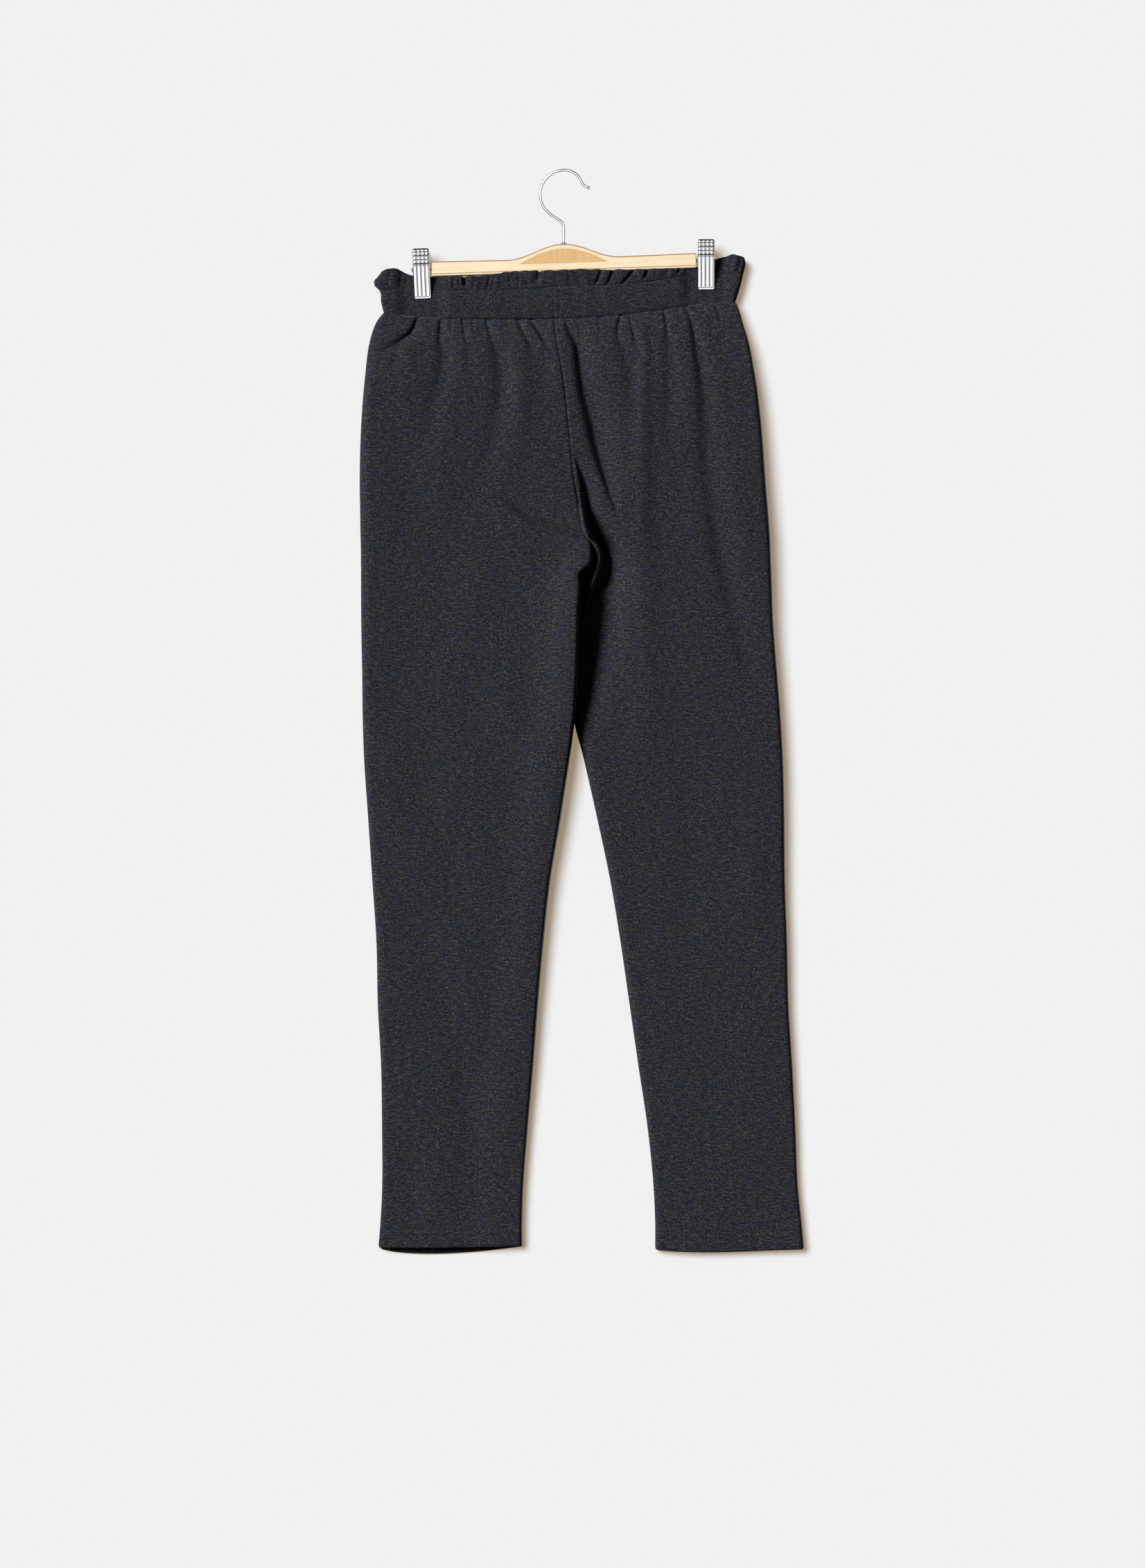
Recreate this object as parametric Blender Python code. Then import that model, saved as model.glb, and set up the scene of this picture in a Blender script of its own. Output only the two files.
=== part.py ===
"""Jogging bottoms clipped by their waistband to a wooden hanger.

Frame: +X to the wearer's right, +Y from the seat of the trousers to their front,
+Z up. The origin is the underside of the hook's top, where a rail carries it.
All sizes below are millimetres; MM turns them into Blender's metres.

The trousers are four panels (back and front of each leg) and one waistband, a
strip folded over elastic whose upper edge stands as a ruffled heading. The
hanger is a bar with a hump, an inlay, a wire hook and two sprung clips.
"""

import math

import bmesh
import bpy
import numpy as np
from mathutils import Matrix, Vector

MM = 0.001

# --- cloth -----------------------------------------------------------------
CLOTH_WALL = 1.6
HEM_WALL = 2.2  # the hem is turned up, so the wall is two layers there
HEM_HEIGHT = 19
BAND_WALL = 2.0  # the waistband is folded double
SEAM_GAP = 0.3
LEG_GAP = 0.6  # between the two inseams where the legs hang side by side

WAIST = -146  # nominal height of the waist seam, before BAND lifts it
CROTCH = -392
HEM = -1086

# The outline from behind: each leg's outer edge and inner edge. Above CROTCH
# both inner edges are the centre seam, which leans because the legs do.
OUTLINE_COLUMNS = ("height", "left_outer", "left_inner", "right_inner", "right_outer")
OUTLINE = (
    (-146, -183.0, -11.5, -11.5, 171.8),
    (-154, -188.6, -10.5, -10.5, 175.2),
    (-162, -192.4, -9.5, -9.5, 178.0),
    (-178, -197.0, -7.3, -7.3, 184.5),
    (-205, -200.5, -3.0, -3.0, 190.8),
    (-246, -204.0, 2.3, 2.3, 196.4),
    (-316, -206.1, 9.4, 9.4, 202.0),
    (-350, -205.6, 17.2, 17.2, 204.6),
    (-372, -205.2, 24.5, 24.5, 206.2),
    (-392, -204.9, 28.0, 28.6, 207.0),
    (-408, -204.8, 20.0, 20.6, 207.6),
    (-447, -204.7, 13.4, 14.0, 208.8),
    (-512, -203.6, 11.4, 12.0, 213.6),
    (-550, -203.2, 8.8, 9.6, 216.5),
    (-590, -201.9, 3.9, 19.3, 218.8),
    (-652, -197.7, -5.2, 33.3, 220.2),
    (-715, -193.5, -15.7, 46.6, 220.9),
    (-778, -189.3, -22.7, 57.1, 223.0),
    (-841, -187.9, -28.3, 66.2, 224.4),
    (-904, -184.6, -33.2, 75.3, 228.3),
    (-967, -183.7, -38.8, 84.6, 231.4),
    (-1030, -183.7, -43.5, 90.7, 234.2),
    (-1062, -185.3, -44.4, 92.1, 237.7),
    (-1086, -187.2, -44.4, 92.1, 239.8),
)

# How far the cloth stands from its middle plane, and how wide the rounded
# folds at its edges are. Right is the leg that hangs a little further back.
DEPTH_COLUMNS = ("height", "back", "front", "outer_fold", "left_inner_fold", "right_inner_fold")
DEPTH = (
    (-146, 5.0, 5.0, 5.5, 12, 12),
    (-154, 8.6, 7.6, 8, 12, 14),
    (-166, 12.6, 10.6, 11, 12, 16),
    (-190, 16.6, 13.2, 14, 12, 22),
    (-250, 20.0, 15.6, 17, 11, 28),
    (-330, 21.0, 16.2, 17, 10, 32),
    (-392, 20.0, 15.0, 16, 9, 34),
    (-460, 18.4, 13.6, 15, 9, 32),
    (-550, 16.6, 12.2, 14, 9, 24),
    (-640, 15.2, 11.4, 13, 10, 15),
    (-760, 13.4, 10.4, 12, 10, 13),
    (-900, 11.4, 9.2, 11, 10, 11),
    (-1030, 9.6, 8.2, 10, 9, 10),
    (-1086, 8.8, 7.8, 9, 9, 9),
)

# A leg's back is not level from side to side: it is this much deeper at its
# inner edge (left) or outer edge (right) than in its middle, as a share.
LEFT_LEAN = 0.16
RIGHT_LEAN = -0.10

# The two large folds of the right seat, each a trough along a leaning line.
FOLD_COLUMNS = ("height", "centre", "depth", "half_width")
SEAT_FOLD = (
    (-156, -3.0, 0.0, 8),
    (-196, 11.6, 5.0, 9),
    (-244, 25.6, 7.0, 10),
    (-288, 36.8, 5.5, 12),
    (-345, 47.5, 0.0, 13),
)
CROTCH_FOLD = (
    (-280, 19.0, 0.0, 8),
    (-338, 29.0, 7.0, 9),
    (-372, 37.0, 10.0, 11),
    (-410, 34.0, 4.0, 12),
    (-450, 30.0, 0.0, 12),
)

# Heights along the waistband: its seam with the panels, the stitched line
# under its ruffled heading and its top edge, with the heading's depth there.
BAND_COLUMNS = ("across", "seam", "stitching", "top", "depth")
BAND = (
    (-190, -143.0, -121.0, -104.0, 5.4),
    (-172, -145.4, -119.8, -98.8, 7.6),
    (-159, -146.8, -119.2, -106.2, 5.0),
    (-145, -148.0, -119.0, -107.4, 3.0),
    (-130, -148.8, -119.0, -107.4, 5.0),
    (-112, -149.3, -119.8, -107.0, 8.8),
    (-78, -149.7, -120.2, -106.0, 8.8),
    (-60, -149.8, -120.0, -103.0, 8.8),
    (-38, -149.6, -119.3, -101.6, 8.8),
    (-10, -149.0, -116.6, -101.2, 8.8),
    (15, -148.4, -114.9, -100.0, 8.8),
    (45, -146.5, -114.6, -100.4, 8.8),
    (75, -143.6, -112.4, -100.0, 8.8),
    (105, -138.8, -107.8, -99.2, 8.8),
    (128, -135.9, -105.0, -98.0, 5.0),
    (142, -134.0, -103.9, -97.8, 3.0),
    (156, -133.2, -103.3, -96.6, 5.0),
    (169, -133.0, -103.2, -85.6, 7.6),
    (186, -133.2, -103.4, -93.0, 5.4),
)

# The waistband's two side edges at five levels from the seam to the top.
# rise is 0 at the seam, 1 at the stitching and 2 at the top edge. The columns
# are rise, left, right and depth.
BAND_LEVELS = (
    (0.0, -183.0, 171.8, 5.0),
    (0.5, -185.8, 172.3, 5.2),
    (1.0, -187.0, 176.0, 4.9),
    (1.35, -192.4, 177.6, 5.4),
    (1.7, -192.2, 180.0, 6.6),
    (2.0, -186.4, 182.2, 0.0),
)
PINCH = 3.0  # half the waistband's thickness between a clip's jaws
PINCH_HALF = 15  # the stretch that a clip flattens, to each side of its middle
PINCH_REACH = 14  # and how far beyond it the waistband opens again
RUFFLE = 1.3
RUFFLE_LENGTH = 23

# --- hanger ----------------------------------------------------------------
BAR_CENTRE = Vector((-1.4, 0, -94.4))
BAR_TILT = math.radians(1.85)
BAR_LENGTH = 268
BAR_THICK = 11
BAR_END_HALF = 7.5
BAR_NECK_HALF = 6.6
BAR_CHAMFER = 1.2
HUMP_RISE = 14.5
HUMP_HALF = 57

INLAY_HALF = 44.6
INLAY_FLOOR = 1.8
INLAY_RISE = 14.2
INLAY_RECESS = 0.4

WIRE = 1.6  # radius of the hook's wire
HOOK_RADIUS = 24.6
HOOK_NOSE_RADIUS = 17.9
HOOK_AXIS = -0.6
HOOK_LEAVES = math.radians(236)  # where the big arc meets the straight neck
HOOK_NECK = math.radians(146)  # direction of that neck, from the shank up
HOOK_NOSE_END = math.radians(28)
HOOK_KINK = (18.6, -13.9)
HOOK_TIP = (24.4, -16.7)
SHANK_DEEP = 12.5
BORE_DEEP = 13.2
FERRULE_RADIUS = 2.8
FERRULE_HEIGHT = 1.8

AXLE = 1.5
AXLE_IN_BAR = 11
CLIP_HALF = 8.7
CLIP_SHEET = 0.8
CLIP_BACK_HALF = 7.6
CLIPS = (("left", -143.6, math.radians(2.4)), ("right", 143.6, math.radians(0.3)))

# A clip's front plate, from its grip down to its jaw: the face, and how far
# back its side flanges reach. The back plate is its mirror image, narrower.
# The columns are height, face and reach.
PLATE = (
    (22.4, -14.4, -13.4),
    (21.6, -14.9, -12.4),
    (12.0, -13.1, -8.6),
    (6.0, -11.9, -2.6),
    (2.8, -11.2, 2.9),
    (-2.8, -10.0, 2.9),
    (-7.0, -9.1, -3.5),
    (-15.0, -7.1, -3.5),
    (-26.5, -4.7, -3.5),
    (-28.9, -4.4, -3.5),
    (-29.6, -4.1, -3.4),
)

SPRING_WIRE = 0.55
SPRING_RADIUS = 3.0
SPRING_TURNS = 4.5
SPRING_HALF = 5.2
SPRING_LEG = (11.4, 12.5)  # how far out and up each leg of the spring ends

# --- colours ---------------------------------------------------------------
CHARCOAL = (0.030, 0.030, 0.035)
BEECH = (0.84, 0.66, 0.42)
INLAY_WOOD = (0.70, 0.48, 0.24)
CHROME = (0.80, 0.80, 0.82)


def column(rows, names, name, at):
    """A table's value at a height or place, on a smooth curve through its rows."""
    key = np.array([row[0] for row in rows], float)
    value = np.array([row[names.index(name)] for row in rows], float)
    if key[0] > key[-1]:
        key, value = key[::-1], value[::-1]
    at = min(max(at, key[0]), key[-1])
    slope = np.gradient(value, key)
    i = int(np.clip(np.searchsorted(key, at) - 1, 0, len(key) - 2))
    step = key[i + 1] - key[i]
    t = (at - key[i]) / step
    return (
        (2 * t**3 - 3 * t**2 + 1) * value[i]
        + (t**3 - 2 * t**2 + t) * step * slope[i]
        + (3 * t**2 - 2 * t**3) * value[i + 1]
        + (t**3 - t**2) * step * slope[i + 1]
    )


def smooth_step(low, high, value):
    t = min(max((value - low) / (high - low), 0), 1)
    return t * t * (3 - 2 * t)


def material(name, colour, roughness, metallic=0.0):
    made = bpy.data.materials.new(name)
    made.use_nodes = True
    shader = made.node_tree.nodes["Principled BSDF"]
    shader.inputs["Base Color"].default_value = (*colour, 1)
    shader.inputs["Roughness"].default_value = roughness
    shader.inputs["Metallic"].default_value = metallic
    return made


def object_of(name, points, faces, finish, matrix=None):
    """An object from points in millimetres, with its faces turned outwards."""
    mesh = bpy.data.meshes.new(name)
    mesh.from_pydata([Vector(p) * MM for p in points], [], faces)
    bm = bmesh.new()
    bm.from_mesh(mesh)
    bmesh.ops.recalc_face_normals(bm, faces=bm.faces)
    bm.to_mesh(mesh)
    bm.free()
    made = bpy.data.objects.new(name, mesh)
    made.data.materials.append(finish)
    bpy.context.scene.collection.objects.link(made)
    if matrix is not None:
        made.matrix_world = matrix
    return made


def placed(centre, tilt):
    """A frame at a point in millimetres, turned in the plane of the bar."""
    return Matrix.Translation(centre * MM) @ Matrix.Rotation(-tilt, 4, "Y")


# --- cloth shapes ----------------------------------------------------------


def normals_of(section, first, last):
    """Unit normals of an open 2-D line, with those of its ends given."""
    points = np.array(section, float)
    along = points[2:] - points[:-2]
    across = np.stack([along[:, 1], -along[:, 0]], axis=1)
    across /= np.linalg.norm(across, axis=1)[:, None]
    return [np.array(first), *across, np.array(last)]


def shell(rows, wraps=False):
    """Points and faces of a wall from rows of (outer, inner) point pairs."""
    width = len(rows[0])
    points = [pair[0] for row in rows for pair in row]
    points += [pair[1] for row in rows for pair in row]
    inner = len(rows) * width
    faces = []
    for i in range(len(rows) - 1):
        for j in range(width if wraps else width - 1):
            a, b = i * width + j, i * width + (j + 1) % width
            c, d = b + width, a + width
            faces.append((a, b, c, d))
            faces.append((inner + d, inner + c, inner + b, inner + a))
    last = (len(rows) - 1) * width
    for j in range(width if wraps else width - 1):
        k = (j + 1) % width
        faces.append((j, inner + j, inner + k, k))
        faces.append((last + k, inner + last + k, inner + last + j, last + j))
    if not wraps:
        for i in range(len(rows) - 1):
            a, b = i * width, (i + 1) * width
            faces.append((a, b, inner + b, inner + a))
            a, b = a + width - 1, b + width - 1
            faces.append((b, a, inner + a, inner + b))
    return points, faces


def fold_at(fold, x, height):
    """How far a trough pushes the cloth back at a point."""
    if not fold[-1][0] <= height <= fold[0][0]:
        return 0.0
    centre = column(fold, FOLD_COLUMNS, "centre", height)
    half = column(fold, FOLD_COLUMNS, "half_width", height)
    depth = column(fold, FOLD_COLUMNS, "depth", height)
    return max(depth, 0.0) * math.exp(-(((x - centre) / half) ** 2))


def leg_section(side, face, height):
    """One level of a panel, from its outer edge to its inner edge, in X and Y.

    Each edge is a rounded fold. Above the crotch the inner edge is the centre
    seam, where the cloth stays level; it turns into a fold just above CROTCH.
    """
    outer = column(OUTLINE, OUTLINE_COLUMNS, f"{side}_outer", height)
    inner = column(OUTLINE, OUTLINE_COLUMNS, f"{side}_inner", height)
    if side == "right" and height <= CROTCH:
        beside = column(OUTLINE, OUTLINE_COLUMNS, "left_inner", height) + LEG_GAP
        inner = max(inner, beside)
    depth = column(DEPTH, DEPTH_COLUMNS, face, height)
    outer_fold = column(DEPTH, DEPTH_COLUMNS, "outer_fold", height)
    fold_side = side if face == "back" else "left"
    inner_fold = column(DEPTH, DEPTH_COLUMNS, f"{fold_side}_inner_fold", height)
    turned = smooth_step(CROTCH + 26, CROTCH, height) if height > CROTCH else 1.0
    inward = 1 if side == "left" else -1
    if turned < 1:
        inner -= inward * SEAM_GAP / 2
    width = abs(inner - outer)
    lean = {"left": LEFT_LEAN, "right": RIGHT_LEAN}[side] if face == "back" else 0.0

    reach = []
    for angle in (0, 24, 48, 72):
        turn = math.radians(angle)
        reach.append((outer_fold * (1 - math.cos(turn)), math.sin(turn)))
    flat_steps = 8
    for i in range(flat_steps + 1):
        share = i / flat_steps
        reach.append((outer_fold + share * (width - outer_fold - inner_fold), 1.0))
    for angle in (66, 42, 20, 0):
        turn = math.radians(angle)
        level = 1 + turned * (math.sin(turn) - 1)
        reach.append((width - inner_fold * (1 - math.cos(turn)), level))

    sign = -1 if face == "back" else 1
    section = []
    for distance, level in reach:
        x = outer + inward * distance
        crown = 1 + 2 * lean * (distance / width - 0.5)
        y = sign * max(depth * crown * level, SEAM_GAP / 2)
        if face == "back" and side == "right":
            pushed = fold_at(SEAT_FOLD, x, height) + fold_at(CROTCH_FOLD, x, height)
            y = min(y + pushed * min(1.0, level * 2), -SEAM_GAP / 2)
        section.append((x, y))

    end = turned * math.pi / 2
    first = (-inward, 0)
    last = (inward * math.sin(end), sign * math.cos(end))
    normals = normals_of(section, first, last)
    if normals[len(normals) // 2][1] * sign < 0:
        normals = [normals[0], *(-n for n in normals[1:-1]), normals[-1]]
    return section, normals


def seam_lift(x, height):
    """How far the waist seam and the cloth just below it are raised."""
    lift = column(BAND, BAND_COLUMNS, "seam", x) - WAIST
    return lift * (1 - smooth_step(0, 58, WAIST - height))


PANEL_LEVELS = (WAIST, -154, -164, -182, -210, -246, -284, -320, -348, -368, -382, CROTCH)
PANEL_LEVELS += (-408, -434, -474, -520, -550, -590, -660, -750, -850, -950, -1030)
PANEL_LEVELS += (HEM + HEM_HEIGHT + 1, HEM + HEM_HEIGHT, HEM)
HEM_LEVELS = {
    ("left", "back"): -1085.0,
    ("left", "front"): -1091.8,
    ("right", "back"): -1089.0,
    ("right", "front"): -1087.6,
}


def panel(name, side, face, finish):
    """A quarter of the trousers: one leg's back or front, waist to hem."""
    rows = []
    drop = HEM_LEVELS[side, face] - HEM
    for height in PANEL_LEVELS:
        section, normals = leg_section(side, face, height)
        wall = HEM_WALL if height <= HEM + HEM_HEIGHT else CLOTH_WALL
        row = []
        lowest, highest = sorted((section[0][0], section[-1][0]))
        for (x, y), normal in zip(section, normals):
            z = height + seam_lift(x, height) - SEAM_GAP / 2
            z += drop * smooth_step(0, 70, HEM + 70 - height)
            inside = np.array((x, y)) - normal * wall
            inside[0] = min(max(inside[0], lowest), highest)
            if abs(y) <= SEAM_GAP / 2 + 1e-6:
                inside[1] = y
            row.append(((x, y, z), (inside[0], inside[1], z)))
        rows.append(row)
    points, faces = shell(rows)
    return object_of(name, points, faces, finish)


def band_depth(x, level_depth, rise, phase):
    """Half the waistband's thickness: ruffled above the stitching, flat in a clip."""
    depth = level_depth
    if rise > 1:
        open_depth = column(BAND, BAND_COLUMNS, "depth", x)
        share = rise - 1
        depth = 4.9 + (open_depth - 4.9) * share
        depth += RUFFLE * share * (1 + math.sin(2 * math.pi * x / RUFFLE_LENGTH + phase))
    for _, clip_x, _ in CLIPS:
        away = abs(x - clip_x - BAR_CENTRE.x)
        near = 1 - smooth_step(PINCH_HALF, PINCH_HALF + PINCH_REACH, away)
        depth += (PINCH - depth) * near
    return depth


def band_heights(x, rise):
    seam = column(BAND, BAND_COLUMNS, "seam", x) + SEAM_GAP / 2
    stitching = column(BAND, BAND_COLUMNS, "stitching", x)
    top = column(BAND, BAND_COLUMNS, "top", x)
    if rise <= 1:
        return seam + (stitching - seam) * rise
    return stitching + (top - stitching) * (rise - 1)


def waistband(finish):
    """A closed ring of doubled cloth, flattened between the clips' jaws."""
    rows = []
    spans = 34
    for rise, left, right, level_depth in BAND_LEVELS:
        loop = []
        for sign, phase in ((-1, 0.4), (1, 2.6)):
            half = []
            for angle in (0, 30, 60):
                turn = math.radians(angle)
                half.append((left + 5 * (1 - math.cos(turn)), math.sin(turn)))
            for i in range(spans + 1):
                half.append((left + 5 + (right - left - 10) * i / spans, 1.0))
            for angle in (60, 30, 0):
                turn = math.radians(angle)
                half.append((right - 5 * (1 - math.cos(turn)), math.sin(turn)))
            side = []
            for x, level in half:
                depth = band_depth(x, level_depth, rise, phase)
                side.append((x, sign * level * depth))
            loop.extend(side[:-1] if sign < 0 else side[::-1][:-1])
        points = np.array(loop)
        along = np.roll(points, -1, axis=0) - np.roll(points, 1, axis=0)
        outward = np.stack([along[:, 1], -along[:, 0]], axis=1)
        outward /= np.linalg.norm(outward, axis=1)[:, None]
        row = []
        for (x, y), normal in zip(points, outward):
            z = band_heights(x, rise)
            inside = (x, y) - normal * BAND_WALL
            row.append(((x, y, z), (inside[0], inside[1], z)))
        rows.append(row)
    points, faces = shell(rows, wraps=True)
    return object_of("waistband", points, faces, finish)


# --- hanger shapes ---------------------------------------------------------


def prism(name, outline, half_thick, finish, matrix, chamfer=0.0):
    """An outline in X and Z, made as thick as stated and chamfered all round."""
    points = [(x, -half_thick, z) for x, z in outline] + [(x, half_thick, z) for x, z in outline]
    count = len(outline)
    faces = [tuple(range(count)), tuple(range(2 * count - 1, count - 1, -1))]
    faces += [(i, (i + 1) % count, count + (i + 1) % count, count + i) for i in range(count)]
    made = object_of(name, points, faces, finish, matrix)
    if chamfer:
        bm = bmesh.new()
        bm.from_mesh(made.data)
        rims = [e for e in bm.edges if abs(e.verts[0].co.y - e.verts[1].co.y) < half_thick * MM]
        bmesh.ops.bevel(bm, geom=rims, offset=chamfer * MM, segments=1, affect="EDGES")
        bm.to_mesh(made.data)
        bm.free()
    return made


def tube(name, path, radii, sides, finish, matrix=None):
    """A round bar along a path, with a radius for each of its points."""
    path = [Vector(p) for p in path]
    points, faces = [], []
    across = None
    for i, (centre, radius) in enumerate(zip(path, radii)):
        ahead = path[min(i + 1, len(path) - 1)] - path[max(i - 1, 0)]
        ahead.normalize()
        if across is None:
            across = ahead.orthogonal().normalized()
        across = (across - ahead * across.dot(ahead)).normalized()
        upward = ahead.cross(across)
        for k in range(sides):
            turn = 2 * math.pi * k / sides
            points.append(centre + (across * math.cos(turn) + upward * math.sin(turn)) * radius)
    for i in range(len(path) - 1):
        for k in range(sides):
            a, b = i * sides + k, i * sides + (k + 1) % sides
            faces.append((a, b, b + sides, a + sides))
    faces.append(tuple(range(sides))[::-1])
    faces.append(tuple(range((len(path) - 1) * sides, len(path) * sides)))
    return object_of(name, points, faces, finish, matrix)


def cutter(name, start, end, radius, matrix=None):
    made = tube(name, (start, end), (radius, radius), 20, bpy.data.materials["cutter"], matrix)
    made.hide_render = True
    made.display_type = "WIRE"
    return made


def cut(target, *tools):
    for tool in tools:
        difference = target.modifiers.new(tool.name, "BOOLEAN")
        difference.operation = "DIFFERENCE"
        difference.object = tool


def arc(centre, radius, start, end, steps):
    """Points round an arc in X and Z, both ends included."""
    turns = [start + (end - start) * i / steps for i in range(steps + 1)]
    return [(centre[0] + radius * math.cos(t), centre[1] + radius * math.sin(t)) for t in turns]


def rounded_corner(before, corner, after, radius, steps):
    """Points of a bend at a corner between two straight runs, in X and Z."""
    corner = Vector(corner)
    back = (Vector(before) - corner).normalized()
    on = (Vector(after) - corner).normalized()
    half_angle = back.angle(on) / 2
    reach = radius / math.tan(half_angle)
    start, end = corner + back * reach, corner + on * reach
    # a quadratic curve keeps both tangents, which is close enough to an arc
    curve = []
    for i in range(steps + 1):
        t = i / steps
        curve.append(tuple(start * (1 - t) ** 2 + corner * 2 * t * (1 - t) + end * t**2))
    return curve


def hump_top(x):
    """The bar's upper edge above its centre line."""
    share = min(abs(x) / HUMP_HALF, 1)
    beyond = max(abs(x) - HUMP_HALF, 0) / (BAR_LENGTH / 2 - HUMP_HALF)
    edge = BAR_NECK_HALF + (BAR_END_HALF - BAR_NECK_HALF) * beyond
    return edge + HUMP_RISE * math.cos(math.pi * share / 2) ** 2


def inlay_outline(grow):
    """The lens between the bar's arch and its straight lower part."""
    half = INLAY_HALF + grow
    xs = [half * math.sin(math.pi / 2 * (1 - i / 9)) for i in range(19)]
    arch = [(x, INLAY_FLOOR + grow + INLAY_RISE * math.cos(math.pi * x / 2 / half)) for x in xs]
    return [(-half, INLAY_FLOOR - grow), (half, INLAY_FLOOR - grow), *arch[1:-1]]


def hanger_bar(beech, inlay_wood):
    frame = placed(BAR_CENTRE, BAR_TILT)
    half = BAR_LENGTH / 2
    xs = [half, HUMP_HALF + 6]
    xs += [HUMP_HALF * (1 - i / 10) for i in range(21)]
    xs += [-HUMP_HALF - 6, -half]
    outline = [(-half, -BAR_END_HALF), (half, -BAR_END_HALF)]
    outline += [(x, hump_top(x)) for x in xs]
    bar = prism("bar", outline, BAR_THICK / 2, beech, frame, BAR_CHAMFER)
    window = prism(
        "inlay_window", inlay_outline(SEAM_GAP), BAR_THICK, bpy.data.materials["cutter"], frame
    )
    window.hide_render = True
    window.display_type = "WIRE"
    inlay = prism(
        "inlay", inlay_outline(0), BAR_THICK / 2 - INLAY_RECESS, inlay_wood, frame
    )
    top = BAR_CENTRE.z + hump_top(0)
    bore = cutter(
        "hook_bore",
        (BAR_CENTRE.x, 0, top + 4),
        (BAR_CENTRE.x, 0, top - BORE_DEEP),
        WIRE + SEAM_GAP,
    )
    ends = []
    for side, x, _ in CLIPS:
        start = math.copysign(half - AXLE_IN_BAR - 1, x)
        end = math.copysign(half + 4, x)
        ends.append(cutter(f"axle_bore_{side}", (start, 0, 0), (end, 0, 0), AXLE + 0.3, frame))
    cut(bar, window, bore, *ends)
    cut(inlay, bore)


def hook(chrome):
    """Wire from the bar up into a round hook with a short turned-out nose."""
    top = BAR_CENTRE.z + hump_top(0)
    big = (HOOK_AXIS, WIRE - HOOK_RADIUS)
    small = (HOOK_AXIS, WIRE - HOOK_NOSE_RADIUS)
    sweep = arc(big, HOOK_RADIUS, HOOK_LEAVES, math.pi / 2, 26)
    nose = arc(small, HOOK_NOSE_RADIUS, math.pi / 2, HOOK_NOSE_END, 10)[1:]
    run = (sweep[0][0] - BAR_CENTRE.x) / math.cos(HOOK_NECK)
    elbow = (BAR_CENTRE.x, sweep[0][1] - run * math.sin(HOOK_NECK))
    foot = (BAR_CENTRE.x, top - SHANK_DEEP)
    line = [foot, (BAR_CENTRE.x, top + 4)]
    line += rounded_corner(foot, elbow, sweep[0], 9, 7)
    line += sweep + nose
    line += rounded_corner(nose[-1], HOOK_KINK, HOOK_TIP, 4, 4)
    body = [(x, 0, z) for x, z in line]
    radii = [WIRE] * len(body)
    tip = Vector((HOOK_TIP[0], 0, HOOK_TIP[1]))
    outward = (tip - Vector(body[-1])).normalized()
    # the end is upset into a small button so that it doesn't snag
    for along, radius in ((-1.6, WIRE), (-1.0, 2.1), (-0.3, 2.25), (0.3, 1.9), (0.6, 1.0)):
        body.append(tuple(tip + outward * along))
        radii.append(radius)
    tube("hook", body, radii, 12, chrome)

    bottom = top + SEAM_GAP
    outline = ((WIRE + SEAM_GAP, 0), (FERRULE_RADIUS, 0), (FERRULE_RADIUS, 0.9))
    outline += ((WIRE + 0.9, FERRULE_HEIGHT), (WIRE + SEAM_GAP, FERRULE_HEIGHT))
    rings = 20
    points, faces = [], []
    for k in range(rings):
        turn = 2 * math.pi * k / rings
        for radius, rise in outline:
            x = BAR_CENTRE.x + radius * math.cos(turn)
            points.append((x, radius * math.sin(turn), bottom + rise))
    count = len(outline)
    for k in range(rings):
        for j in range(count):
            a, b = k * count + j, k * count + (j + 1) % count
            shift = ((k + 1) % rings - k) * count
            faces.append((a, b, b + shift, a + shift))
    object_of("ferrule", points, faces, chrome)


def plate(name, half, mirrored, finish, matrix):
    """A clip's pressed plate: a channel whose flanges carry the axle."""
    sign = -1 if mirrored else 1
    points, faces = [], []
    for height, face, reach in PLATE:
        inner = face + CLIP_SHEET
        lip = max(reach, inner + 0.1)
        ring = ((-half, lip), (-half, face), (half, face), (half, lip))
        ring += ((half - CLIP_SHEET, lip), (half - CLIP_SHEET, inner))
        ring += ((-half + CLIP_SHEET, inner), (-half + CLIP_SHEET, lip))
        points += [(x, sign * y, height) for x, y in ring]
    count = 8
    for i in range(len(PLATE) - 1):
        for j in range(count):
            a, b = i * count + j, i * count + (j + 1) % count
            faces.append((a, b, b + count, a + count))
    for base in (0, (len(PLATE) - 1) * count):
        faces.append((base, base + 1, base + 6, base + 7))
        faces.append((base + 1, base + 2, base + 5, base + 6))
        faces.append((base + 2, base + 3, base + 4, base + 5))
    return object_of(name, points, faces, finish, matrix)


def spring_path():
    """Down one leg, round the coil and up the other leg."""
    out, up = SPRING_LEG
    path = [(-SPRING_HALF, -out, up), (-SPRING_HALF, -SPRING_RADIUS - 1.2, 1.6)]
    steps = round(SPRING_TURNS * 10)
    for i in range(steps + 1):
        turn = math.pi + 2 * math.pi * SPRING_TURNS * i / steps
        x = -SPRING_HALF + 2 * SPRING_HALF * i / steps
        path.append((x, SPRING_RADIUS * math.cos(turn), SPRING_RADIUS * math.sin(turn)))
    path += [(SPRING_HALF, SPRING_RADIUS + 1.2, 1.6), (SPRING_HALF, out, up)]
    return path


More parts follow.
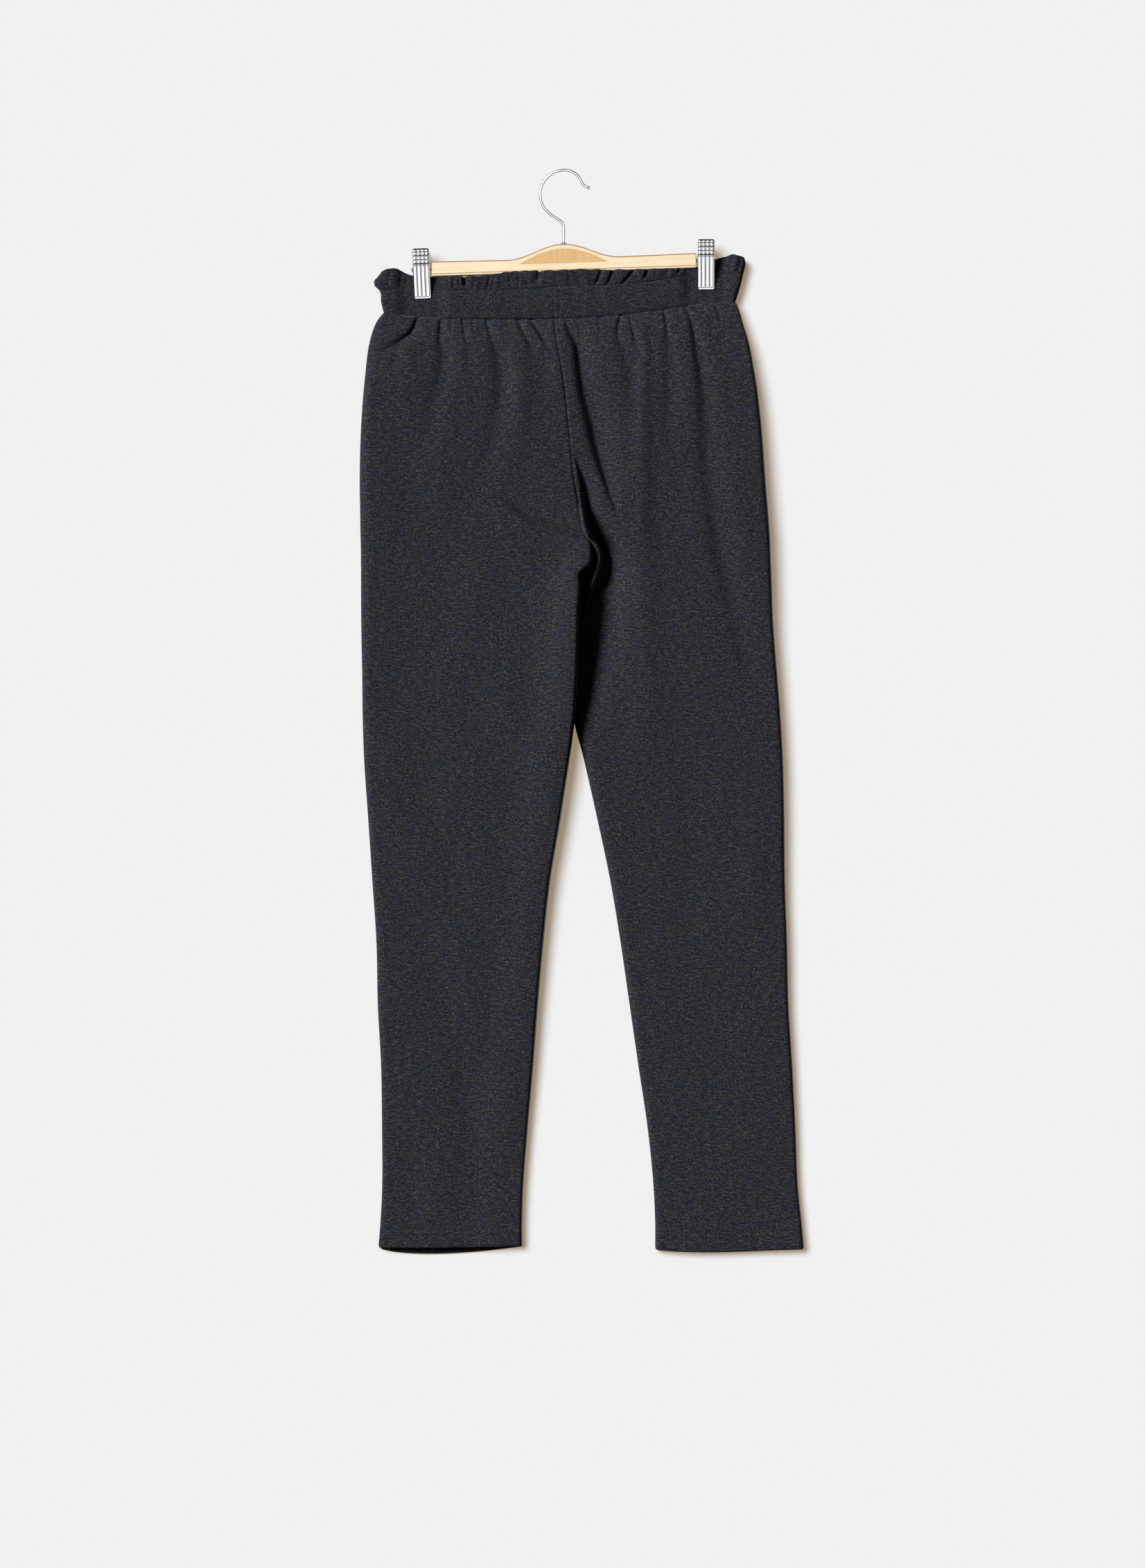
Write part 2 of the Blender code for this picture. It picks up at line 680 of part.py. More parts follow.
def clip(side, along, tilt, chrome, steel):
    """One clip on its axle, which is driven into the end of the bar."""
    on_bar = placed(BAR_CENTRE, BAR_TILT)
    centre = on_bar @ Vector((along * MM, 0, 0)) / MM
    frame = placed(centre, tilt)
    bore = cutter(f"clip_{side}_bore", (-12, 0, 0), (12, 0, 0), AXLE + 0.5, frame)
    front = plate(f"clip_{side}_front", CLIP_HALF, False, chrome, frame)
    back = plate(f"clip_{side}_back", CLIP_BACK_HALF, True, chrome, frame)
    cut(front, bore)
    cut(back, bore)

    outward = math.copysign(1, along)
    start = outward * (BAR_LENGTH / 2 - AXLE_IN_BAR)
    head = along + outward * (CLIP_HALF + 0.4)
    stops = ((start, AXLE), (head, AXLE), (head + outward * 0.1, 2.3))
    stops += ((head + outward * 0.7, 2.3), (head + outward * 1.0, 1.4))
    path = [(x, 0, 0) for x, _ in stops]
    tube(f"clip_{side}_axle", path, [r for _, r in stops], 14, steel, on_bar)
    path = spring_path()
    tube(f"clip_{side}_spring", path, [SPRING_WIRE] * len(path), 6, steel, frame)


def main():
    for old in list(bpy.data.objects):
        bpy.data.objects.remove(old)
    material("cutter", (1, 0, 0), 1)
    jersey = material("charcoal sweat jersey", CHARCOAL, 0.9)
    beech = material("lacquered beech", BEECH, 0.45)
    inlay_wood = material("cross-grained inlay", INLAY_WOOD, 0.5)
    chrome = material("chrome plate", CHROME, 0.12, 1)
    steel = material("plated spring steel", (0.6, 0.6, 0.62), 0.25, 1)

    for face in ("back", "front"):
        for side in ("left", "right"):
            panel(f"{face}_{side}", side, face, jersey)
    waistband(jersey)
    hanger_bar(beech, inlay_wood)
    hook(chrome)
    for side, along, tilt in CLIPS:
        clip(side, along, tilt, chrome, steel)


main()
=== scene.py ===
"""The looks of jogging bottoms clipped to a wooden hanger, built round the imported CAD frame.

The sizes are millimetres unless a name says otherwise; MM turns them into metres. The
seat of the trousers faces -Y, the wearer's left leg is at -X, and the origin is the
underside of the hook's top.
"""

import math

import bpy
import numpy as np
from mathutils import Matrix, Vector


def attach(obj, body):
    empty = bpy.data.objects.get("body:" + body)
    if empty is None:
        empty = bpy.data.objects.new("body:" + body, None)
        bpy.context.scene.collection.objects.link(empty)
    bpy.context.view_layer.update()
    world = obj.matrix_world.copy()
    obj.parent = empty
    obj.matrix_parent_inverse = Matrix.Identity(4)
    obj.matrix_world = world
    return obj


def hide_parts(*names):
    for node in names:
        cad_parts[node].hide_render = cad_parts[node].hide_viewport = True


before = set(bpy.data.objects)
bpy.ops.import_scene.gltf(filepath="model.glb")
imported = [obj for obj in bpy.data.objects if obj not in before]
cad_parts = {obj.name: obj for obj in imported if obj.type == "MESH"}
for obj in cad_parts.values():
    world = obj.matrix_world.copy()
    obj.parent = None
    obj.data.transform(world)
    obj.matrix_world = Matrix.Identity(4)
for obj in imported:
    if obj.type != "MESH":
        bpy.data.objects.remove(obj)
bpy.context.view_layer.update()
MM = 0.001

# --- sweat jersey ------------------------------
# The trousers' cloth is a brushed-back cotton and polyester sweat jersey of about
# 280 g/m2. Dark and pale fibres are spun into one melange yarn, and the yarn's
# thick and thin places lie along the courses, straight across the leg.

FIBRE_DARK = "#0c0c10"
FIBRE_MID = "#1e1e22"
FIBRE_PALE = "#505055"
FIBRE_BLUE = "#13223f"
FIBRE_BROWN = "#3a2b1c"
NEP = "#b9b9bd"
STREAK_LONG, STREAK_HIGH = 6.5, 1.8  # a thick place in the yarn, drawn 2 courses high
SPECKLE_LONG, SPECKLE_HIGH = 2.0, 1.7  # tufts of fibres, drawn about 3 times too coarse
PATCH_LONG, PATCH_HIGH = 17, 9  # where one spinning lot shows more blue or brown
COURSE, WALE = 0.75, 0.95  # one row and one column of stitches
FUZZ = 0.5  # the brushed ends of single fibres
NEP_EVERY = 17


def linear(value):
    """An sRGB hex colour as the linear values that a shader takes; a number as it is."""
    if not isinstance(value, str):
        return value
    parts = [int(value[i : i + 2], 16) / 255 for i in (1, 3, 5)]
    bent = [c / 12.92 if c <= 0.04045 else ((c + 0.055) / 1.055) ** 2.4 for c in parts]
    return (*bent, 1)


def given(thing, **settings):
    """The same thing with its settings made."""
    for name, value in settings.items():
        setattr(thing, name, value)
    return thing


def add(finish, kind, inputs=None, stops=(), **settings):
    """A node with its settings and its ramp's stops, each a place with its colour.

    An input takes a number, a hex colour, a socket, or a node whose first output is meant.
    """
    tree = finish.node_tree
    node = given(tree.nodes.new("ShaderNode" + kind), **settings)
    for name, value in (inputs or {}).items():
        if isinstance(value, bpy.types.Node):
            value = value.outputs[0]
        if isinstance(value, bpy.types.NodeSocket):
            tree.links.new(value, node.inputs[name])
        else:
            node.inputs[name].default_value = linear(value)
    points = node.color_ramp.elements if stops else []
    while len(points) < len(stops):
        points.new(0.5)
    for point, (place, colour) in zip(points, stops):
        given(point, position=place, color=linear(colour))
    return node


def finish_of(name):
    """An empty material."""
    made = given(bpy.data.materials.new(name), use_nodes=True)
    made.node_tree.nodes.clear()
    return made


def sweat_jersey():
    """Charcoal melange: matt, with short pale and dark dashes across the cloth."""
    made = finish_of("charcoal melange sweat jersey")
    cloth = add(made, "Attribute", attribute_name="lie").outputs["Vector"]
    elsewhere = add(made, "VectorMath", {0: cloth, 1: (3.7, 1.9, 0)}, operation="ADD")
    drawn = {}
    for name, kind, start, across, up, look in (
        ("streaks", "TexNoise", cloth, STREAK_LONG, STREAK_HIGH, {"Detail": 2, "Roughness": 0.6}),
        ("tufts", "TexNoise", cloth, SPECKLE_LONG, SPECKLE_HIGH, {"Detail": 2, "Roughness": 0.6}),
        ("blue patches", "TexNoise", cloth, PATCH_LONG, PATCH_HIGH, {"Detail": 3, "Roughness": 0.55}),
        ("brown patches", "TexNoise", elsewhere, PATCH_LONG, PATCH_HIGH, {"Detail": 3, "Roughness": 0.55}),
        ("neps", "TexVoronoi", cloth, NEP_EVERY, NEP_EVERY, {}),
        ("loops", "TexNoise", cloth, WALE, COURSE, {"Detail": 2, "Roughness": 0.7}),
        ("fuzz", "TexNoise", cloth, FUZZ, FUZZ, {"Detail": 1, "Roughness": 0.7}),
    ):
        at = add(made, "Mapping", {"Vector": start, "Scale": (1 / (across * MM), 1 / (up * MM), 1)})
        drawn[name] = add(made, kind, {"Vector": at, "Scale": 1.0, **look})

    stops = ((0.34, FIBRE_DARK), (0.50, FIBRE_MID), (0.68, FIBRE_PALE))
    yarn = add(made, "ValToRGB", {0: drawn["streaks"]}, stops)
    stops = ((0.35, FIBRE_DARK), (0.50, FIBRE_MID), (0.67, FIBRE_PALE))
    tufts = add(made, "ValToRGB", {0: drawn["tufts"]}, stops)
    base = add(made, "Mix", {0: 0.62, 6: yarn, 7: tufts}, data_type="RGBA").outputs[2]
    for name, colour, low, high, most in (
        ("blue patches", FIBRE_BLUE, 0.46, 0.64, "#888888"),
        ("brown patches", FIBRE_BROWN, 0.46, 0.66, "#7f7f7f"),
        ("neps", NEP, 0.045, 0.020, "#909090"),
    ):
        stops = sorted(((low, "#000000"), (high, most)))
        amount = add(made, "ValToRGB", {0: drawn[name]}, stops)
        base = add(made, "Mix", {0: amount, 6: base, 7: colour}, data_type="RGBA").outputs[2]

    height = add(made, "Math", {0: drawn["loops"], 1: drawn["fuzz"]}, operation="ADD")
    inputs = {
        "Base Color": base,
        "Roughness": 0.92,
        "Specular IOR Level": 0.18,
        "Sheen Weight": 0.15,
        "Sheen Roughness": 0.45,
        "Sheen Tint": "#c9c9d4",
        "Normal": add(made, "Bump", {"Height": height, "Strength": 0.55, "Distance": 0.25 * MM}),
    }
    add(made, "OutputMaterial", {"Surface": add(made, "BsdfPrincipled", inputs)})
    return made


jersey = sweat_jersey()

# --- four leg panels ------------------------------
# A back and a front for each leg, overlocked together at the centre seams, the
# side seams and the inseams. They hang flattened, each side edge a soft fold, and
# the hem is turned up inside and caught down with a twin needle.

CLOTH_THICK = 1.25
SEAM_GAP = 0.3
LEG_GAP = 0.6
WAIST = -146
CROTCH = -392
HEM = -1086
HEM_TURNED = 19
HEM_ROLL = 1.35  # radius of the turned edge at the hem

# The first row of a table names its columns.
OUTLINE = (
    ("height", "left_outer", "left_inner", "right_inner", "right_outer"),
    (-146, -183, -11.5, -11.5, 171.8),
    (-154, -188.6, -10.5, -10.5, 175.2),
    (-162, -192.4, -9.5, -9.5, 178),
    (-178, -197, -7.3, -7.3, 184.5),
    (-205, -200.5, -3, -3, 190.8),
    (-246, -204, 2.3, 2.3, 196.4),
    (-316, -206.1, 9.4, 9.4, 202),
    (-348, -205.6, 14.8, 14.8, 204.6),
    (-364, -205.4, 18.8, 18.8, 205.8),
    (-372, -205.2, 23.6, 24.4, 206.2),
    (-380, -205, 25.8, 30.4, 206.5),
    (-388, -204.9, 26.6, 32.4, 206.8),
    (-394, -204.9, 26, 31.9, 207),
    (-398.5, -204.9, 23.6, 31, 207.2),
    (-401.5, -204.8, 18.4, 30, 207.3),
    (-404.5, -204.8, 15.6, 29, 207.4),
    (-418, -204.8, 14.8, 24.2, 207.9),
    (-447, -204.7, 13.4, 17, 208.8),
    (-512, -203.6, 11.4, 12, 213.6),
    (-550, -203.2, 8.8, 9.6, 216.5),
    (-590, -201.9, 3.9, 19.3, 218.8),
    (-652, -197.7, -5.2, 33.3, 220.2),
    (-715, -193.5, -15.7, 46.6, 220.9),
    (-778, -189.3, -22.7, 57.1, 223),
    (-841, -187.9, -28.3, 66.2, 224.4),
    (-904, -184.6, -33.2, 75.3, 228.3),
    (-967, -183.7, -38.8, 84.6, 231.4),
    (-1030, -183.7, -43.5, 90.7, 234.2),
    (-1062, -185.3, -44.4, 92.1, 237.7),
    (-1086, -187.2, -44.4, 92.1, 239.8),
)

DEPTH = (
    ("height", "back", "front", "outer_fold", "left_inner_fold", "right_inner_fold"),
    (-146, 5, 5, 5.5, 12, 12),
    (-154, 8.6, 7.6, 8, 12, 14),
    (-166, 12.6, 10.6, 11, 12, 16),
    (-190, 16.6, 13.2, 14, 12, 22),
    (-250, 20, 15.6, 17, 11, 28),
    (-330, 21, 16.2, 17, 10, 32),
    (-392, 20, 15, 16, 9, 34),
    (-460, 18.4, 13.6, 15, 9, 32),
    (-550, 16.6, 12.2, 14, 9, 24),
    (-640, 15.2, 11.4, 13, 10, 15),
    (-760, 13.4, 10.4, 12, 10, 13),
    (-900, 11.4, 9.2, 11, 10, 11),
    (-1030, 9.6, 8.2, 10, 9, 10),
    (-1086, 8.8, 7.8, 9, 9, 9),
)
LEAN = {"left": 0.16, "right": -0.10}  # a leg's back is that much deeper at one edge
LEG_SLANT = {"left": -0.02, "right": -0.095}  # how far the cloth's rows tip with the leg

# The waist seam's height along the waistband, which the cloth below it follows.
BAND = (
    ("across", "seam", "stitching", "top", "depth"),
    (-190, -143, -121, -104, 5.4),
    (-172, -145.4, -119.8, -98.8, 7.6),
    (-159, -146.8, -119.2, -104.6, 5),
    (-145, -148, -119, -107.4, 3),
    (-130, -148.8, -119, -107.4, 5),
    (-112, -149.3, -119.8, -107, 7.2),
    (-78, -149.7, -120.2, -106, 7.2),
    (-60, -149.8, -120, -103, 7.2),
    (-38, -149.6, -119.3, -101.6, 7.2),
    (-10, -149, -116.6, -101.2, 7.2),
    (15, -148.4, -114.9, -100, 7.2),
    (45, -146.5, -114.6, -100.4, 7.2),
    (75, -143.6, -112.4, -100, 7.2),
    (105, -138.8, -107.8, -99.2, 7.2),
    (128, -135.9, -105, -98, 5),
    (142, -134, -103.9, -95.6, 3),
    (151, -133.4, -103.5, -90.2, 4.2),
    (160, -133.1, -103.2, -87.4, 5.6),
    (169, -133, -103.2, -85.2, 7.6),
    (178, -133.1, -103.3, -86.8, 6.6),
    (186, -133.2, -103.4, -91, 5.4),
)

# Each fold is a line over the cloth, with its depth and the width of its slopes to
# the left and right of the line. A depth below 0 is a ridge.
FOLD_COLUMNS = ("x", "z", "depth", "left", "right")
LEFT_FOLDS = (
    # from the waist seam out to the side, where the clip pulls
    ((-150, -150, 2.8, 2, 5), (-156, -163, 4, 2.2, 6), (-168, -172.5, 3.4, 2.6, 6),
     (-180, -181, 1.6, 3.4, 7), (-192, -191, 0, 5, 8)),
    ((-166, -176, 0.6, 4, 6), (-171, -190, 2.2, 5, 8), (-175, -212, 0, 6, 9)),
    # the gathers below the elastic
    ((-125.5, -150, 2.2, 1.9, 4), (-126.5, -160, 3.2, 2.4, 5), (-126, -171, 2.8, 3.5, 7),
     (-122, -190, 3, 7, 10), (-124, -210, 2.8, 9, 11), (-132, -235, 2.4, 10, 11),
     (-135, -262, 1.4, 10, 11), (-136, -288, 0, 10, 11)),
    ((-115, -150, 1, 1.4, 2), (-115.5, -160, 0.6, 1.5, 2.2), (-115.5, -167, 0, 1.6, 2.2)),
    ((-104, -150, 2.4, 1.7, 2.6), (-102, -163, 1.9, 2, 3), (-98, -180, 1.3, 4, 6),
     (-96, -206, 0, 6, 7)),
    ((-93.5, -150, 1.6, 1.4, 2), (-93, -158, 1, 1.4, 2), (-93, -165, 0, 1.4, 2)),
    ((-87, -150, 1.3, 1.5, 2), (-86, -172, 0, 2, 3)),
    ((-80, -150, 2.6, 1.6, 2.6), (-78, -160, 2.4, 2, 3.2), (-72, -174, 2.8, 5, 8),
     (-66, -192, 3.8, 8, 12), (-63, -225, 3.6, 9, 13), (-70, -262, 2.6, 10, 14),
     (-80, -300, 1.6, 11, 14), (-88, -340, 0, 12, 14)),
    ((-60, -150, 1.4, 1.4, 2.2), (-57, -158, 1, 1.5, 2.2), (-54, -166, 0, 1.6, 2.4)),
    ((-49, -150, 2.2, 1.6, 3), (-44, -160, 3.4, 2, 3.5), (-38, -171, 2.8, 2.6, 5),
     (-32, -184, 1.4, 4, 6), (-27, -198, 0, 5, 6)),
    ((-36, -150, 2.6, 1.6, 3), (-28.5, -161, 4.2, 1.9, 3.4), (-20.5, -173, 3.8, 2.1, 3.6),
     (-14.5, -182, 1.8, 2.6, 4), (-11, -192, 0, 3, 4)),
    ((-26, -180, 0, 4, 6), (-21, -192, 2, 5, 7), (-20, -208, 1.3, 6, 8), (-20, -232, 0, 6, 8)),
    ((-18, -150, 1.4, 1.4, 2), (-17, -164, 0, 1.8, 2)),
    ((-48, -176, -1, 9, 8), (-45, -215, -2.6, 11, 10), (-48, -262, -1.8, 13, 12),
     (-56, -310, 0, 13, 12)),
    # a thin drag line across the thigh to the crotch
    ((-70, -326, 0, 2, 2.4), (-54, -338, 3.4, 2.3, 3.8), (-42, -347, 6.2, 2.6, 4.4),
     (-25, -358, 7.2, 2.7, 4.8), (-6, -367, 7, 2.7, 4.8), (8, -372, 5.4, 2.5, 4.4),
     (20, -375, 2.6, 2.2, 3.6), (28, -377, 0, 2, 3)),
    # the inner thigh stands up towards its edge
    ((22, -372, 0, 14, 14), (21, -394, -3.2, 19, 20), (15, -425, -9, 25, 28),
     (12, -460, -10.2, 27, 30), (9, -495, -9.6, 29, 30), (5, -540, -7.5, 32, 30),
     (-4, -595, -5.5, 32, 30), (-18, -680, -3.4, 32, 30), (-30, -760, -2.4, 32, 30),
     (-44, -900, -1.6, 30, 30), (-52, -1040, 0, 30, 30)),
    # wide and shallow, down the thigh and the calf
    ((-150, -300, 0, 24, 24), (-140, -420, 2, 26, 26), (-146, -560, 1, 26, 26),
     (-150, -700, 0, 24, 24)),
    ((-112, -800, 0, 18, 20), (-104, -900, 1.8, 18, 20), (-96, -1000, 1.5, 18, 20),
     (-92, -1060, 0, 18, 20)),
)
RIGHT_FOLDS = (
    # the long seat fold, beside the centre seam: crisp to the left, soft to the right
    ((0, -153, 1.2, 1.6, 3), (1.5, -157, 4, 2.4, 5), (6.5, -168, 6.2, 3.2, 9), (11.5, -178, 7, 4, 12),
     (15.5, -207, 7.2, 4.6, 15), (20, -231, 7.6, 5.2, 18), (26, -251, 8, 6, 17),
     (31.5, -278, 7.6, 5.4, 16), (38.5, -304, 6.2, 4.2, 13), (44.2, -324, 4.4, 3, 9),
     (50, -339, 2.4, 2.2, 5), (54, -350, 0, 2, 3)),
    # the hollow into the crotch and down the inner thigh, under the left leg's edge
    ((9.5, -284, 0, 2, 5), (13, -298, 3.4, 2.4, 6), (17.5, -312, 7, 3, 8), (19.5, -325, 10.4, 2.8, 10),
     (20.8, -346, 15, 2.2, 13), (24.6, -362, 17.5, 2.6, 16), (30, -378, 19, 5, 19),
     (33, -392, 20, 10, 22), (33, -407, 20, 26, 25), (28, -428, 19, 28, 26),
     (24, -456, 17.5, 28, 26), (20, -490, 14.5, 28, 25), (16, -526, 9, 26, 21),
     (13, -552, 4.4, 22, 17), (10, -582, 0, 18, 14)),
    # the inner layer's edge, a thin roll that shows below the left leg's lobe
    ((14.2, -334, 0, 1.6, 1.8), (16.8, -346, -8, 1.5, 1.7), (20.6, -364, -16, 1.6, 1.9),
     (27.4, -373, -24, 1.8, 2.2), (32.6, -382, -29, 1.9, 2.3), (34.2, -391, -30, 1.9, 2.3),
     (31.4, -405, -28, 1.9, 2.3), (26, -420, -22, 1.9, 2.3), (20.8, -436, -16, 1.8, 2.2),
     (17.2, -451, -11, 1.8, 2.2), (15.2, -466, -5, 1.7, 2), (14.4, -480, 0, 1.6, 1.8)),
    # the gathers
    ((13, -150, 1.3, 3, 4), (16, -162, 1.2, 4, 5), (18, -174, 0, 4, 5)),
    ((34, -147, 1.8, 1.6, 2.4), (34.5, -160, 0.8, 2, 2.5), (35, -168, 0, 2, 3)),
    ((56, -146, 2.4, 1.9, 3), (53, -158, 2.8, 2.2, 3.5), (54, -170, 2.2, 4, 7), (62, -190, 2, 7, 10),
     (68, -210, 2.1, 8, 9), (70, -240, 1.7, 9, 8), (70, -280, 1.1, 10, 8), (70, -330, 0.7, 10, 9),
     (70, -372, 0, 10, 9)),
    ((65, -149, 1.6, 1.6, 2.2), (69.5, -168, 2.2, 2.2, 3), (72, -181, 0, 3, 4)),
    ((80, -148, -0.8, 4, 4), (79, -200, -2, 7, 6), (77, -250, -2.6, 10, 8),
     (76, -310, -2.6, 13, 10), (78, -400, -2.4, 16, 14), (82, -550, -1.8, 16, 16),
     (84, -660, 0, 14, 14)),
    ((168, -285, 0, 14, 18), (176, -325, -2.6, 15, 20), (181, -365, -2.6, 15, 20),
     (187, -410, 0, 14, 16)),
    ((99.5, -143, 2.4, 1.8, 2.6), (102.5, -158, 2.8, 2.4, 3.4), (104, -175, 2.4, 5, 8),
     (106, -205, 2.4, 7, 9), (106, -250, 1.6, 8, 9), (105, -285, 0, 8, 9)),
    ((121, -138, 2.4, 1.9, 3), (127, -152, 3.4, 2.6, 4), (131, -172, 4, 4, 7), (136, -200, 4.2, 5.5, 10),
     (140, -228, 3.8, 7, 11), (143, -262, 3.3, 9, 12), (144, -302, 3, 9, 12), (150, -345, 3, 9, 12),
     (160, -400, 3, 9, 12), (171, -450, 2.4, 9, 12), (182, -495, 1.4, 9, 11), (190, -532, 0, 9, 11)),
    ((152, -134, 2.2, 1.6, 2.2), (155.5, -149, 1.8, 1.9, 2.6), (157, -161, 0, 2, 3)),
    # wide and shallow, down the thigh and the calf
    ((126, -560, 0, 14, 16), (126, -640, 1.4, 14, 16), (124, -740, 1.2, 14, 16),
     (122, -810, 0, 14, 16)),
    ((188, -640, 0, 12, 14), (192, -720, -1, 12, 14), (198, -800, 0, 12, 14)),
)
FOLDS = {"left": LEFT_FOLDS, "right": RIGHT_FOLDS}
OTHER_SIDE = {"left": "right", "right": "left"}
EDGE_ZONE = 14  # how much of each side is drawn finely
EDGE_STEPS = 15
FLAT_COLUMNS = {"back": 146, "front": 58}
HEM_ZONE, HEM_ROWS = 30, 30  # rows close together for the hem's stitching
HEM_ROLL_TURNS = (36, 72, 108, 144)  # degrees round the turned edge
TURNED_ROWS = 8
TIGHT = {"left": (0.65, 0.38), "right": (0.38, 0.65)}  # how soon a side's outer and inner folds flatten
INSEAM_RUN = 26  # how far above the crotch the centre seam starts to part
LAP_TOP, LAP_FOOT = -360, -460  # where the left leg laps over the right, at the back only
SWELL_SEEDS = {("left", "back"): 3, ("left", "front"): 3, ("right", "back"): 4, ("right", "front"): 6}
PUCKER_SEEDS = {"left": 11, "right": 12}
THINNEST = 1.5  # the least depth under the folds
WAIST_FALL, SWELL_FALL, HEM_FALL = 58, 30, 70  # how far a seam or an edge shapes the cloth
SWELL_WAVES, SWELL_HIGH = 7, 0.28
LEAN_FULL, LEAN_NONE = CROTCH - 20, CROTCH + 90
SLANT_FROM, SLANT_FULL = -330, -560
SEAM_DIP, SEAM_REACH = 1.3, 1.3  # how far the cloth dives into a seam, and from how far
WAIST_DIP, HEM_PROUD = 1.4, 0.5  # the waist seam's share of that dip, and the doubled hem's height
WALL_TOP, WALL_FOOT = 16.4, 8.0  # how far back the trousers may reach, and where they hang
WALL_RUN, WALL_CLEAR = 1010, 1.5
STITCH_ROWS = (11.0, 17.0)  # the two needles' rows, above the hem
STITCH_DIP, STITCH_REACH = 0.35, 1.1
FRONT_LIES = 1300  # where a front lies on the flat cloth, apart from its back
LEFT_LIES = 400
# Each hem's edge: its height at the outer and inner seams, how far it sags between
# them, and at what share of the way from the outer seam it hangs lowest.
HEM_EDGE = {
    ("left", "back"): (-1084.9, -1083.2, 0.9, 0.4),
    ("left", "front"): (-1086.0, -1084.6, 6.4, 0.38),
    ("right", "back"): (-1086.7, -1087.5, 2.4, 0.64),
    ("right", "front"): (-1086.4, -1086.8, 0.8, 0.5),
}


def along(table, name, at):
    """A table's column at any heights, on a smooth curve through its rows."""
    names, *rows = table
    key = np.array([row[0] for row in rows], float)
    value = np.array([row[names.index(name)] for row in rows], float)
    if key[0] > key[-1]:
        key, value = key[::-1], value[::-1]
    at = np.clip(at, key[0], key[-1])
    slope = np.gradient(value, key)
    i = np.clip(np.searchsorted(key, at) - 1, 0, len(key) - 2)
    step = key[i + 1] - key[i]
    t = (at - key[i]) / step
    near = (2 * t**3 - 3 * t**2 + 1) * value[i] + (t**3 - 2 * t**2 + t) * step * slope[i]
    far = (3 * t**2 - 2 * t**3) * value[i + 1] + (t**3 - t**2) * step * slope[i + 1]
    return near + far


def eased(low, high, value):
    """0 up to the low value and 1 from the high one, on a smooth curve between."""
    t = np.clip((value - low) / (high - low), 0, 1)
    return t * t * (3 - 2 * t)


def squared(share):
    """A turned edge: steep at first, then flat, as cloth lies when it hangs flattened."""
    near = np.clip(1 - share, 0, 1)
    return (1 - near**3.2) ** (1 / 3.2)


def fold_depth(line, x, z):
    """How deep one fold presses the cloth at each point."""
    keyed = [("row", *FOLD_COLUMNS), *((i, *row) for i, row in enumerate(line))]
    fine = np.linspace(0, len(line) - 1, 8 * (len(line) - 1) + 1)
    px, pz, depth, left, right = (along(keyed, name, fine) for name in FOLD_COLUMNS)
    best = np.full(x.shape, 1e9)
    found = np.zeros(x.shape)
    for k in range(len(fine) - 1):
        ax, az = px[k], pz[k]
        bx, bz = px[k + 1] - ax, pz[k + 1] - az
        length = bx * bx + bz * bz
        t = np.clip(((x - ax) * bx + (z - az) * bz) / length, 0, 1)
        dx, dz = x - ax - t * bx, z - az - t * bz
        away = np.sqrt(dx * dx + dz * dz)
        side = dx * -bz + dz * bx  # positive to the right of a line that runs down
        wide = np.where(side > 0, right[k], left[k])
        value = (depth[k] * (1 - t) + depth[k + 1] * t) * np.exp(-((away / wide) ** 2))
        closer = away < best
        best = np.where(closer, away, best)
        found = np.where(closer, value, found)
    return found


def swell(x, z, seed):
    """The gentle unevenness of hanging cloth, a millimetre or so over a hand's width."""
    draw = np.random.default_rng(seed)
    total = np.zeros(x.shape)
    for _ in range(SWELL_WAVES):
        long, across = draw.uniform(140, 320), draw.uniform(45, 110)
        turn = draw.uniform(-0.35, 0.35)
        phase = draw.uniform(0, 2 * math.pi, 2)
        u = x * math.cos(turn) + z * math.sin(turn)
        v = z * math.cos(turn) - x * math.sin(turn)
        total += np.sin(2 * math.pi * u / across + phase[0]) * np.sin(2 * math.pi * v / long + phase[1])
    return total * SWELL_HIGH


def puckers(x, below, seed):
    """Small gathers of uneven length just below a seam."""
    draw = np.random.default_rng(seed)
    total = np.zeros(x.shape)
    at = -200.0
    while at < 200:
        at += draw.uniform(4, 11)
        deep, reach, wide = draw.uniform(0.2, 1.1), draw.uniform(3, 11), draw.uniform(1.0, 2.1)
        lean = draw.uniform(-0.25, 0.25)
        total += deep * np.exp(-(((x - at - lean * below) / wide) ** 2)) * np.exp(-((below / reach) ** 2))
    return total


def piece_of(name, points, faces, finish, smooth=True):
    """An object from points in millimetres."""
    mesh = bpy.data.meshes.new(name)
    mesh.from_pydata((np.asarray(points, float) * MM).tolist(), [], faces)
    mesh.validate()
    mesh.polygons.foreach_set("use_smooth", [smooth] * len(mesh.polygons))
    mesh.materials.append(finish)
    made = bpy.data.objects.new(name, mesh)
    bpy.context.scene.collection.objects.link(made)
    return made


def quads_of(rows, width, wraps=False):
    """The faces between rows of points, each row closed on itself if it wraps."""
    start = np.arange(rows - 1)[:, None] * width
    ahead = np.roll(np.arange(width), -1) if wraps else np.arange(1, width)
    first = (start + np.arange(len(ahead))).ravel()
    second = (start + ahead).ravel()
    return np.stack([first, second, second + width, first + width], axis=1)


